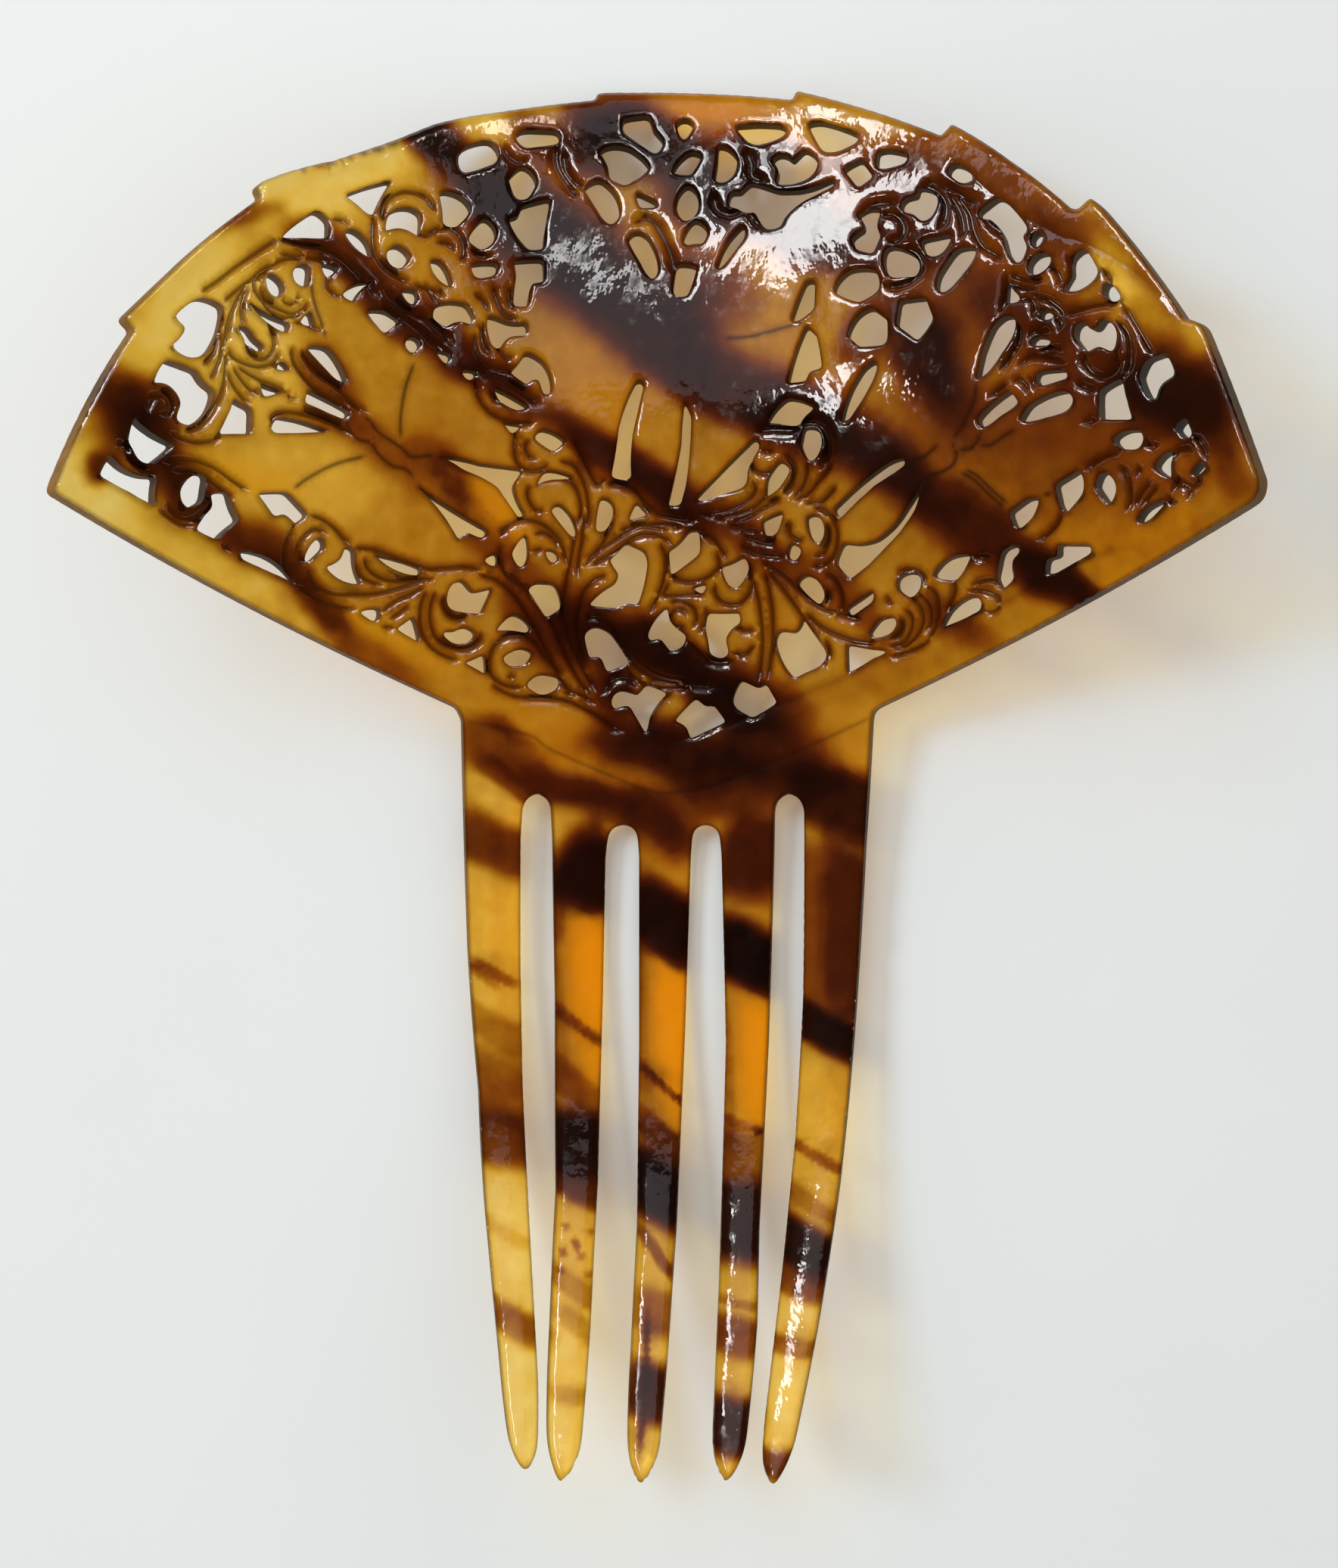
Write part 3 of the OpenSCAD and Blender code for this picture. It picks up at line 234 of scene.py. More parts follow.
# %% Gaps of the middle
middle_top = [
    [[-5.2, 96.3, 0.1], [-1.5, 96.9, 0.1], [-0.8, 94.6, 0.1], [0.8, 92.6, 0.3], [-0.4, 90.5, 0.1],
      [-3, 92.2, 0], [-5.4, 94, 0.1]],
    [[-9, 90.7, 0.3], [-7, 91.8, 0.2], [-4.4, 91.4, 0.3], [-1.3, 88.4, 0.2], [-3.6, 86.3, 0],
      [-5, 85.4, 0.1], [-7.6, 86.6, -0.1], [-7.9, 88.8, 0]],
    [[-11.6, 84.8, 0.3], [-9, 86.4, 0.9], [-6, 81, 0.3], [-7.4, 79.4, 0.3], [-9.4, 81.4, 0]],
    [[-3.4, 84.4, 0.1], [-0.1, 82.8, 0.2], [-0.6, 82, 0], [-2.8, 82, 0.2]],
    [[-4.7, 77, 0.3], [-3.2, 78.4, 0.4], [-1, 76.4, 0.3], [0, 72.4, 0.2], [-0.9, 71, 0.2],
      [-2.6, 73.4, 0.1]],
    [[2.8, 95.4, 0.3], [4.2, 96.3, 0.2], [5.4, 95.2, 0.1], [5, 94, 0], [4.2, 92.7, 0.2], [3.1, 94, 0]],
    [[2.2, 87.4, 0.4], [5, 90.9, 0.2], [6.8, 90.2, 0.1], [5.2, 87.2, 0.1]],
    [[9.3, 91.9, 0.3], [11.6, 90.6, 0.3], [12.2, 88.4, 0.4], [10.6, 86, 0.2], [8.8, 86.2, 0],
      [9.2, 89.2, 0]],
    [[2.9, 82.6, 0.4], [4.6, 85.6, 0.5], [6.3, 83, 0.4], [5.4, 80.3, 0.2], [3.9, 80, 0.3]],
    [[3.9, 77, 0.3], [5.8, 80.2, 0.3], [7.8, 78.4, 0.2], [7, 76.4, -0.2], [4.6, 76.2, 0.1]],
    [[2.4, 69.4, 0.1], [3, 73.4, 0.2], [6.2, 73, 0.1], [4.7, 68.6, 0.1], [2.8, 68.5, 0.1]],
    [[9.3, 72.6, 0.7], [13.4, 79.3, 0.2], [13.6, 77.2, 0.1], [10.4, 73.2, 0.1]],
]
middle_wings = [
    [[21.2, 64.8, 0.1], [23.4, 70.4, 0.2], [24.9, 70.2, 0], [24.8, 66.2, 0.1], [21.9, 64.4, 0]],
    [[20.7, 55.6, 0.3], [23.6, 63.9, 0], [25.2, 62.4, 0.1], [26.1, 57.6, 0], [24.2, 57.2, -0.1],
      [23.6, 55.8, 0]],
    [[-7.4, 42.4, -0.1], [-6.2, 49.4, 0.3], [-3.4, 56.2, 0.2], [-2.2, 55.8, 0], [-4, 48.6, -0.2],
      [-4.2, 42.4, 0.2], [-5.4, 41.9, 0.1]],
    [[1.6, 38.3, -0.1], [3.7, 47.4, 0.1], [4.2, 53.2, 0.1], [5.3, 51, 0.2], [4.4, 41, 0], [3.6, 38.4, 0.1]],
    [[-27, 65.2, 0.1], [-24, 64.4, -0.2], [-20.8, 64.4, 0.1], [-20.9, 62.4, -0.1], [-23.6, 62.2, -0.2],
      [-25, 60.5, 0.1], [-26.4, 60.8, 0.3]],
    [[-23.4, 57.1, -0.1], [-21, 60, 0.2], [-18.2, 58.6, 0.5], [-17, 54.2, 0.1], [-18.2, 54, 0],
      [-19, 56.2, -0.3], [-20.8, 55.3, 0.1]],
    [[-26, 54.8, 0.1], [-20.6, 52.2, 0.1], [-22.4, 51.6, 0.1], [-25, 52.8, 0.2]],
    [[-24.6, 50, -0.1], [-21.6, 49.6, 0.1], [-23.2, 48.2, 0.1]],
    [[-19.6, 47.6, 0.3], [-18.4, 49, 0.3], [-14.8, 47.4, 0.1], [-16.6, 45.8, 0.1]],
    [[-19.2, 41, 0.1], [-17.8, 43.1, 0.3], [-13.4, 42.2, 0], [-16.4, 41.9, -0.2]],
    [[-16.9, 37.4, 0.2], [-15.6, 38.4, 0.6], [-12.8, 34, 0.2], [-13.8, 33.9, 0.1]],
    [[-9.8, 34.6, 0.2], [-9, 39.4, 0.3], [-7, 38.2, 0.4], [-8.4, 34.6, 0.1]],
    [[-4.6, 36.2, 0.1], [-3.4, 38.8, 0], [-1.6, 37, 0.1]],
    [[-23, 31.2, 0.2], [-20.8, 34, 0.2], [-20.5, 30.6, 0.2], [-21.6, 29.2, 0.2]],
    [[6, 39.2, 0.1], [15.4, 47.8, 0.1], [16.2, 46.6, 0], [14.4, 43.6, -0.1], [14.2, 41.8, 0.1],
      [13.4, 40.7, 0], [8, 39.1, 0.3]],
    [[17.2, 39.4, 0.1], [17.4, 42.2, 0.1], [19.4, 44.6, 0.1], [21, 43.2, 0.1], [19.2, 40.6, 0.1]],
    [[17.4, 50, 0.3], [20.6, 53.4, 0.3], [24.9, 52, 0.1], [23.4, 50.8, 0], [22.4, 49.4, 0.1],
      [19.4, 49.8, 0]],
    [[22.7, 46.6, 0], [23.2, 49.1, 0.2], [25.4, 48.8, 0.3], [26, 46.4, 0.3], [24.3, 44.2, 0.1],
      [23.4, 45.2, 0]],
]
middle_foot = [
    [[-17.7, 31.8, 0.3], [-15.7, 31.2, 0.4], [-16.6, 29.9, 0.3]],
    [[-20.3, 26.1, 0.1], [-19, 27.1, 0], [-16.3, 27, 0.3], [-15.1, 23.6, 0.1], [-17.4, 22.2, 0],
      [-19, 24.4, -0.1]],
    [[-7.6, 30.5, 0], [-5, 33, 0], [-2.2, 31.8, 0.2], [-1.7, 29.6, 0.2], [-3.2, 24, 0], [-4.6, 24.3, -0.1],
      [-6.2, 23.6, 0.1], [-10.8, 24, 0.3], [-6.6, 27.2, 0], [-6.1, 28.4, 0.1]],
    [[-11.4, 19.6, 0.3], [-9.6, 20.9, 0.1], [-7.4, 20, 0.1], [-4.3, 15.6, 0], [-7.9, 14.3, 0],
      [-8.8, 16.4, -0.2], [-10.6, 16.3, 0.1]],
    [[-7.2, 10, 0.4], [-5.6, 11.6, 0.1], [-3.2, 10.9, 0], [-1.8, 12.5, 0.1], [1.4, 11.2, -0.3],
      [-1.4, 7.4, 0.1], [-1.9, 5.3, 0], [-4.4, 9.4, -0.2], [-6.6, 8.8, 0.2]],
    [[-1.6, 19.8, 0.4], [1.4, 23.8, 0], [1.8, 21.8, -0.1], [4.4, 19.7, 0.1], [3.8, 18, 0], [2, 17.2, 0],
      [0.4, 19.2, -0.1], [-1.2, 18.8, 0.1]],
    [[1.7, 31.9, -0.3], [4.8, 34.6, 0], [6.4, 34.8, 0.1], [6.6, 31.4, 0.1], [2, 28.3, 0]],
    [[5.4, 26.5, 0.1], [7.6, 27.1, 0.1], [7, 25.6, 0.1]],
    [[9.9, 29.6, -0.2], [13.4, 31, 0.2], [14.3, 29.2, 0.3], [12.2, 26.3, 0.3], [10.6, 27.6, 0.1]],
    [[7.8, 23, -0.1], [12.6, 23, 0.1], [12.8, 21.4, -0.3], [10.5, 19.2, -0.1], [11, 17.2, 0.2],
      [9.8, 16.3, 0.2], [7.9, 17.2, -0.1], [7.3, 20.6, 0.1]],
    [[18.2, 18.6, 0.1], [18.8, 20.2, 0.1], [21.2, 19.9, -0.3], [22.5, 22, 0], [25.9, 17.2, 0.2],
      [25.4, 15.4, 0.1], [23.4, 14.4, 0], [21, 13.3, 0.5]],
    [[21.8, 27, 0.2], [23.4, 28.2, 0.5], [26, 25.6, 0.3], [25.2, 23.9, 0.2]],
    [[23.5, 36.4, 0.2], [25.2, 36.6, 0.4], [26.2, 34.2, 0.3], [25.2, 32.5, 0.2], [23.9, 34, 0.1]],
    [[16.5, 36, 0.1], [19.8, 37.2, 0.2], [18.6, 34, 0.1], [17, 33.8, 0.1]],
    [[20.4, 31, 0.1], [21, 32.8, 0.1], [22.6, 31.8, 0.2], [21.6, 30.2, 0.2]],
    [[11.4, 10, 0.2], [12.8, 13.1, 0], [15.4, 11.9, 0], [16.6, 12.6, 0], [18.3, 9.8, 0.1],
      [14.4, 7.6, 0], [12.2, 8.8, 0.1]],
    [[2.5, 7.2, 0.1], [5.8, 10.5, 0], [7.2, 9.3, 0], [8.6, 9.4, 0], [10.4, 7, 0], [4.9, 4.5, 0],
      [4.4, 6.2, -0.1]],
]

# %% Gaps of the right half
right_top = [
    [[11.8, 95, 0.2], [18.4, 94.9, 0.2], [19.9, 93.8, 0.2], [18.2, 92.4, 0.1], [15.4, 91.7, 0.3],
      [13.2, 93, 0.1]],
    [[23, 94.9, 0.1], [25.2, 95, 0.2], [31, 92.4, 0.2], [30.4, 91.2, 0.1], [27.8, 90.1, 0.2],
      [25.4, 90.3, 0.1]],
    [[17.7, 89.2, 0.3], [19.2, 90.1, 0.2], [20.9, 88.9, 0], [22.6, 90.7, 0.5], [24.9, 88, 0.4],
      [22.4, 85.6, 0.1], [19.2, 85.2, 0.1], [18.4, 85.6, 0], [18.8, 87.6, 0]],
    [[11, 82.2, 0.1], [11.4, 84.4, 0.1], [12.8, 84.2, 0], [14.4, 85.8, 0.1], [18.4, 84.4, -0.1],
      [22.4, 84.3, -0.2], [27, 85.8, 0.2], [27.6, 84.8, 0], [22.6, 82.4, -0.1], [19.8, 80, 0],
      [19.4, 78.9, 0.2], [16.9, 78.5, 0.1], [15.2, 81.2, 0.2], [12.4, 81.9, 0.1]],
    [[28.8, 87.2, 0.1], [31.4, 88.6, 0], [33.5, 85.8, 0.1], [31.2, 84.2, 0]],
    [[34, 89.6, 0.1], [35.6, 89.8, 0.1], [38.8, 88.7, 0.2], [38.3, 87.4, 0.1], [35.2, 86.8, 0.2],
      [33.9, 87.4, 0]],
    [[45, 85.5, 0.2], [45.9, 86.7, 0.2], [48.4, 85.3, 0.2], [49.1, 83.8, 0.1], [47.6, 83.5, 0.1],
      [46.2, 84.3, 0]],
    [[38, 80.9, 0.2], [38.8, 82.1, 0], [40.5, 82.3, 0], [40.5, 83.5, 0.1], [42.4, 83, 0.2],
      [43.7, 81.6, 0.2], [43.4, 79.5, 0.2], [42.2, 78.4, 0.1], [41.2, 78.4, 0], [40.2, 79.5, 0],
      [38.6, 79.9, 0.1]],
    [[31.2, 79.9, 0.1], [33, 80.9, 0.1], [34.9, 80.5, 0], [34.4, 78.2, -0.1], [35.1, 76.6, 0],
      [34, 74.1, 0.1], [31.4, 74.7, 0.1], [30.4, 76.5, 0.1], [32.5, 77.8, 0.1], [32.2, 79.2, 0]],
    [[27.9, 68.7, 0.2], [28.6, 70.4, 0.2], [30.6, 71.8, 0.2], [34.2, 71.6, 0.1], [35, 70.2, 0.1],
      [35, 68.6, 0.1], [33.4, 67.5, 0], [31.9, 66.9, 0.1], [28.7, 68.1, 0]],
    [[35.9, 74.6, 0.2], [37.6, 74.7, 0.1], [40, 73.6, 0.3], [41.4, 71.6, 0.1], [40.6, 70.3, 0.1],
      [37, 70.3, 0.3], [35.7, 72.2, 0.2]],
    [[41.3, 75.4, 0.1], [43, 75.7, 0.1], [46.1, 76, 0.2], [45.6, 74.3, 0.3], [43.8, 72.9, 0.3],
      [41.9, 73.9, 0]],
    [[44.1, 69, 0.2], [45, 71.1, 0.1], [47, 73.7, 0.2], [49.9, 73.7, 0.1], [50.2, 72.8, 0.2],
      [48.2, 70, 0.1], [45.6, 67.6, 0.1], [44.5, 67.7, 0.2]],
    [[50.2, 79, 0], [53, 80.9, 0], [54.2, 80.3, 0.1], [57.8, 76.3, 0], [58.2, 75.5, 0], [57.3, 74.6, 0.1],
      [58.2, 72.9, 0.1], [57.3, 70.9, 0.1], [56.2, 71.1, 0], [55, 72.6, 0], [54.3, 75, -0.1],
      [52.4, 77.6, -0.1], [50.4, 78, 0]],
    [[58.7, 74.2, 0], [59.2, 75, 0.1], [60.6, 74.6, 0.1], [60.6, 73.8, 0.1], [59.9, 72.8, 0.1],
      [58.9, 73.2, 0]],
    [[58.5, 70.6, 0.1], [59.6, 71.8, 0.1], [61.6, 71.8, 0.1], [62.1, 70.6, 0.3], [60.4, 69, 0.3],
      [58.6, 69.3, 0.1]],
    [[65.2, 70.7, 0.1], [66.6, 71.8, 0.2], [68, 71, 0], [69.6, 68.5, 0.3], [68.2, 66.7, 0.2],
      [65.6, 65.9, 0], [63.9, 66.3, 0.1], [65.3, 68.4, 0.2]],
    [[70.3, 65.2, 0.1], [70.6, 66.6, 0.1], [71.9, 66.2, 0.1], [73.4, 64.2, 0.1], [72.4, 63.8, 0.1],
      [70.8, 64.5, 0]],
]
right_wings = [
    [[27.8, 37.4, 0], [30.4, 39.6, 0.1], [35.6, 43.2, 0.2], [38.8, 44.3, 0.1], [39.3, 43.4, 0.1],
      [34.6, 40.8, -0.1], [28.7, 36, 0]],
    [[27.9, 29.8, 0.1], [29.2, 32.6, 0], [31.4, 32.3, -0.1], [34.4, 32.8, -0.2], [38, 35.6, 0],
      [41.6, 40.3, 0.1], [40.6, 37, 0.1], [37.6, 33.4, 0], [33, 29.4, 0], [30.1, 27.4, 0.1]],
    [[29.2, 49.8, 0.1], [30.4, 53.6, 0.1], [32.4, 56.9, 0.2], [34.5, 58.3, 0.1], [34.9, 57.2, 0.1],
      [33.2, 53.8, 0], [30.4, 50, 0]],
    [[30.1, 62.1, 0.1], [30.8, 63.8, 0.2], [32.6, 65.6, 0.1], [34, 66, 0], [36.4, 64.2, 0.1],
      [36.4, 61, 0], [35.8, 60.5, 0], [32, 60.4, 0], [31.2, 61.2, 0]],
    [[37.8, 63.4, 0], [38.3, 66.8, 0], [42.4, 67, 0], [43.7, 63.8, 0.1], [41.3, 60.8, 0]],
    [[55, 65.3, 0], [55.1, 68.3, 0.1], [56.2, 67, 0], [57.4, 65.9, 0.1], [56.4, 65.1, 0]],
    [[50.6, 54.8, 0], [51.4, 58.2, 0.1], [53.2, 62.2, 0], [54.6, 63.3, 0.2], [56.7, 63, 0.1],
      [56.7, 61.6, 0.2], [54.6, 58.2, 0.1], [52.4, 55.6, 0.1]],
    [[50.7, 49.2, 0.1], [53, 51.2, 0.1], [55.9, 52.9, 0], [57.3, 51.1, 0.1], [54.6, 49.5, 0.1],
      [51.6, 47.9, 0.1]],
    [[59.8, 54.2, 0.1], [60.2, 55.1, 0.1], [64.6, 55.1, 0.1], [65.1, 53.9, 0], [61, 53.1, 0.1]],
    [[57.4, 48.8, 0], [58.8, 50.6, 0.1], [61.8, 51.8, 0.1], [64.6, 52.2, 0.2], [66, 50.9, 0.3],
      [64.2, 49.2, 0.1], [58.4, 48.3, 0]],
    [[60.4, 62.9, 0.1], [60.7, 63.9, 0.1], [61.9, 63.5, 0.1], [62.6, 62.6, 0.1], [61.6, 62.3, 0.1]],
    [[59, 59.2, 0.2], [59.8, 60.2, 0.1], [62.2, 59.5, 0.1], [62.2, 58.8, 0], [60.2, 58.8, 0.1]],
]
right_foot = [
    [[29.3, 23.2, 0], [33.6, 25.8, 0.2], [33.5, 24.2, 0], [30.2, 22.2, 0.1]],
    [[29.2, 18.1, 0], [33, 17.4, 0.1], [35.4, 17, 0.1], [33.4, 16.2, 0.1], [29.2, 14, 0]],
    [[32.7, 19.6, 0], [34.4, 21.6, 0.1], [36.6, 22, 0.1], [37.1, 21, 0.1], [36, 19.6, 0.1],
      [33.8, 19, 0.1]],
    [[37.4, 25.9, 0.1], [37.5, 27.4, 0.2], [39.6, 28.1, 0.2], [41.2, 27.3, 0], [41, 26, 0.2],
      [39.4, 24.6, 0.1]],
    [[43.9, 20.2, 0.1], [45.4, 22.6, 0.2], [48.4, 24.5, 0.2], [50.3, 24.1, 0.1], [50.2, 22.6, 0],
      [47, 21.3, 0]],
    [[43, 27.7, 0.1], [44.6, 29.4, 0.2], [47, 30.3, 0.1], [49.2, 30.3, 0], [48.2, 28.6, 0.1],
      [46.7, 26.9, 0.1], [43.9, 27.2, 0]],
    [[52.8, 27, 0], [53.5, 29.4, 0.1], [54.2, 30.9, 0.1], [56.2, 31.4, 0.1], [56.8, 30.6, 0],
      [55.5, 29.5, -0.2], [55.7, 26.9, 0.1], [53.6, 25.3, 0]],
    [[55.4, 36, 0], [58.2, 37.7, 0.1], [60.2, 37.6, 0.1], [59.2, 35.4, 0.1], [57, 33.6, 0.1],
      [56, 34.2, 0]],
    [[60.4, 27.3, 0], [60.8, 29.3, 0], [62.6, 29.6, -0.1], [62.6, 31.2, 0], [67.6, 30.9, 0.2],
      [67.8, 29.8, 0], [62, 27.3, 0]],
]
far_right = [
    [[65.9, 59.6, 0], [66.1, 61, 0.1], [67.3, 61.6, 0.1], [68.4, 60.4, -0.1], [69.6, 60.4, 0],
      [70.4, 61.7, 0.1], [72.2, 60.6, 0.3], [72.6, 58.2, 0.2], [72, 56.9, 0], [70, 57.9, -0.1],
      [68.2, 57.2, 0.1], [67, 58.2, 0]],
    [[76.2, 53.2, 0], [77.2, 55.2, 0.1], [79.9, 55.8, 0.1], [81, 55, 0.1], [81.9, 52.8, 0],
      [80, 52, -0.2], [79, 49.9, 0.1], [78, 49.8, 0.1], [76.8, 51.6, 0]],
    [[69.9, 48, 0], [69.9, 51.7, 0.1], [73.6, 53.2, 0], [74.2, 50.2, 0], [75.2, 47.4, 0], [70.8, 47.8, 0]],
    [[71.9, 45, 0.2], [74, 46, 0.1], [76.2, 45.8, 0.2], [76.8, 44.6, 0.2], [75.6, 43.3, 0],
      [73.2, 43.6, 0.1]],
    [[62.7, 39.4, 0], [66.4, 41.2, 0.1], [67.2, 39.9, 0], [67.1, 38.2, 0.1], [65.6, 36.6, 0],
      [64.2, 35.4, 0], [63.3, 36.4, 0]],
    [[69, 38.9, 0.1], [70, 40.7, 0.2], [71.6, 39.9, 0.2], [72.1, 38.2, 0.2], [71.1, 36.2, 0.1],
      [70, 37.5, 0]],
    [[78.2, 40.8, 0.1], [79.4, 42.2, 0.1], [81.3, 42.8, 0], [80.9, 40.8, 0], [80.9, 39, 0], [79.4, 39.8, 0]],
    [[83.8, 39.6, 0], [85.6, 41.1, 0.1], [86.5, 40.1, 0.1], [84.6, 39, 0]],
    [[81.7, 45.7, 0.1], [83.2, 47, 0.1], [84, 46, 0], [84.4, 44.7, 0.1], [83.4, 44.1, 0.1]],
    [[75.1, 33.8, 0.1], [76.6, 35.4, 0.1], [79.8, 36.4, 0.2], [78.6, 34.8, 0.1], [76.4, 33.5, 0.1]],
]

# %% [markdown]
# ## Even rings
# A ring of corners becomes a smooth loop of close points: each side is bowed, the loop is walked in equal
# steps, and one round of averaging takes the sharpness off the corners, as a file does on the real fret.

# %% Turn corner rings into even loops
LOOP_STEP = 0.5
BOW_STEPS = 6
FEWEST_POINTS = 10
TIP_START = -93.0
TIP_ROUNDS = 6


def bowed(ring):
    corners = np.array(ring, dtype=float)
    ends = np.roll(corners, -1, axis=0)
    doubled_area = np.sum(corners[:, 0] * ends[:, 1] - ends[:, 0] * corners[:, 1])
    outward = 1 if doubled_area > 0 else -1
    share = np.arange(BOW_STEPS) / BOW_STEPS
    points = []
    for a, b in zip(corners, ends):
        span = b[:2] - a[:2]
        normal = np.array([span[1], -span[0]]) / np.hypot(*span) * outward
        points.append(a[:2] + np.outer(share, span) + np.outer(4 * share * (1 - share) * a[2], normal))
    return np.vstack(points)


def distance_walked(points):
    return np.concatenate(([0], np.cumsum(np.hypot(*np.diff(points, axis=0).T))))


def places_on(points, walked, places):
    return np.column_stack([np.interp(places, walked, points[:, k]) for k in (0, 1)])


def filed(loop):
    """Each point moved halfway to the middle of its two neighbours."""
    return 0.5 * loop + 0.25 * np.roll(loop, 1, axis=0) + 0.25 * np.roll(loop, -1, axis=0)


def even_loop(ring):
    points = bowed(ring)
    closed = np.vstack((points, points[:1]))
    walked = distance_walked(closed)
    count = max(FEWEST_POINTS, round(walked[-1] / LOOP_STEP))
    return filed(places_on(closed, walked, np.arange(count) * walked[-1] / count))


gap_tables = [far_left, left_top, left_wings, left_foot, middle_top, middle_wings, middle_foot]
gap_tables += [right_top, right_wings, right_foot, far_right]
border_loop = even_loop(outline)
tips = border_loop[:, 1] < TIP_START
for _ in range(TIP_ROUNDS):
    border_loop[tips] = filed(border_loop)[tips]
gap_loops = [even_loop(ring) for gaps in gap_tables for ring in gaps]
loops = [border_loop] + gap_loops
loop_points = np.vstack(loops)
next_points = np.vstack([np.roll(loop, -1, axis=0) for loop in loops])
print(len(gap_loops), "gaps and a border,", len(loop_points), "points on their edges")

# %% [markdown]
# ## Distances
# The rounding of an edge and the depth of a cut both depend on how far a point is from a line. A k-d tree
# answers that quickly: the lines are sampled densely, and each point asks for its nearest sample.

# %% Measure how far points are from lines
LINE_SAMPLE = 0.08
TOOTH_MIDDLE = (-24.5, -50)


def dense(line, closed):
    points = np.vstack((line, line[:1])) if closed else line
    walked = distance_walked(points)
    return places_on(points, walked, np.linspace(0, walked[-1], max(2, int(walked[-1] / LINE_SAMPLE))))


def tree_of(points):
    tree = kdtree.KDTree(len(points))
    for i, (x, y) in enumerate(points):
        tree.insert((x, y, 0), i)
    tree.balance()
    return tree


def nearest(tree, points):
    """Distance to the nearest sample and that sample's number, for each point."""
    found = [tree.find((x, y, 0)) for x, y in points]
    return np.array([f[2] for f in found]), np.array([f[1] for f in found])


border_tree = tree_of(dense(border_loop, True))
gap_tree = tree_of(np.vstack([dense(loop, True) for loop in gap_loops]))
edge_tree = tree_of(np.vstack([dense(loop, True) for loop in loops]))
print("middle of the left tooth is", round(border_tree.find((*TOOTH_MIDDLE, 0))[2], 2), "mm from its edge")

# %% [markdown]
# ## The carved lines
# The scrolls and leaves are ribs with grooves cut between them, and the butterflies are flat wings with
# engraved veins. Every groove is a short line on the flat sheet. Drawn as data they can be read and changed
# like a pattern; carved with a sculpt brush they could be neither. Columns of a line: across and along, in
# turn, for each of its points. Columns of a curl: across and along of its centre, outer radius, inner
# radius, the angle where it starts and how far it turns, in degrees, positive to the left.

# %% Engraved lines of the butterflies and the V
wing_veins = [
    # left butterfly: upper wings, lower wing, head, thorax and body
    [-55, 70, -54.6, 66, -53.4, 62.5, -52.6, 60],
    [-40.9, 46.6, -40.9, 50, -40.2, 54, -38.6, 58.2],
    [-46, 44.3, -51, 42.9, -55, 40.9, -58, 38.8],
    [-49.6, 49.8, -49.2, 48, -47.6, 46.5, -45.6, 46.1, -44.4, 44.6, -42.3, 43.1, -40, 42.6, -38.3, 41.2],
    [-47.5, 50, -45.8, 49.2, -44.6, 47.8, -42.5, 46.6, -40.4, 45.4, -39, 44.4, -35, 44.9],
    [-45.6, 46.1, -44.9, 47.4],
    # middle butterfly: wing and tail
    [10, 62.2, 15, 62.5, 20, 63.6, 23.6, 64.4],
    [4.4, 53.4, 3.8, 56],
    # right butterfly: upper wings, thorax, body, lower wing as a pair of lines
    [45.1, 46.3, 43.6, 45.2, 42, 44.2, 39.4, 43.6],
    [46.5, 46.3, 48, 47.8, 49.3, 49.9, 50.4, 52.2, 50.7, 54.8],
    [46.3, 46.4, 47.2, 45.3, 47.4, 44.2, 46.8, 43, 45.4, 42.2, 43, 41.5, 41.8, 40.6, 41.2, 39.4],
    [47.2, 45.3, 47.9, 45, 49.4, 45.1, 50.4, 45.6, 51, 46.6, 51.6, 47.8],
    [50.6, 45.4, 53, 45.5, 55.2, 46.7, 57.4, 47.5],
    [47.6, 42.1, 50, 40.8, 52.4, 38.6, 55.2, 36.3],
    [48.2, 42.5, 50.5, 41.3, 52.9, 39.1, 55.6, 36.9],
    [60.2, 37.9, 63, 38.4],
]

# %% Lines across the tooth plate
plate_lines = [
    [-29.7, 7.1, -20, 5.1, -16, 2.7, -2.7, -2.7, 2, -3.5, 10.7, -1.7, 32.7, 7.5],
]

# %% Lines where the border's bevel starts
border_lines = [
    [46, 86.8, 49, 84.4, 53, 80.9, 56, 78.4, 60, 76, 64, 73.8, 66, 73.2, 70, 71.2, 73.5, 69, 77, 66.3, 80, 63.4,
     82.6, 60.3],
    [2, 4, 10.6, 6.4, 18.6, 9.4, 29, 13.6, 36, 16.4, 48, 21.2, 60, 26, 72, 30.4],
]

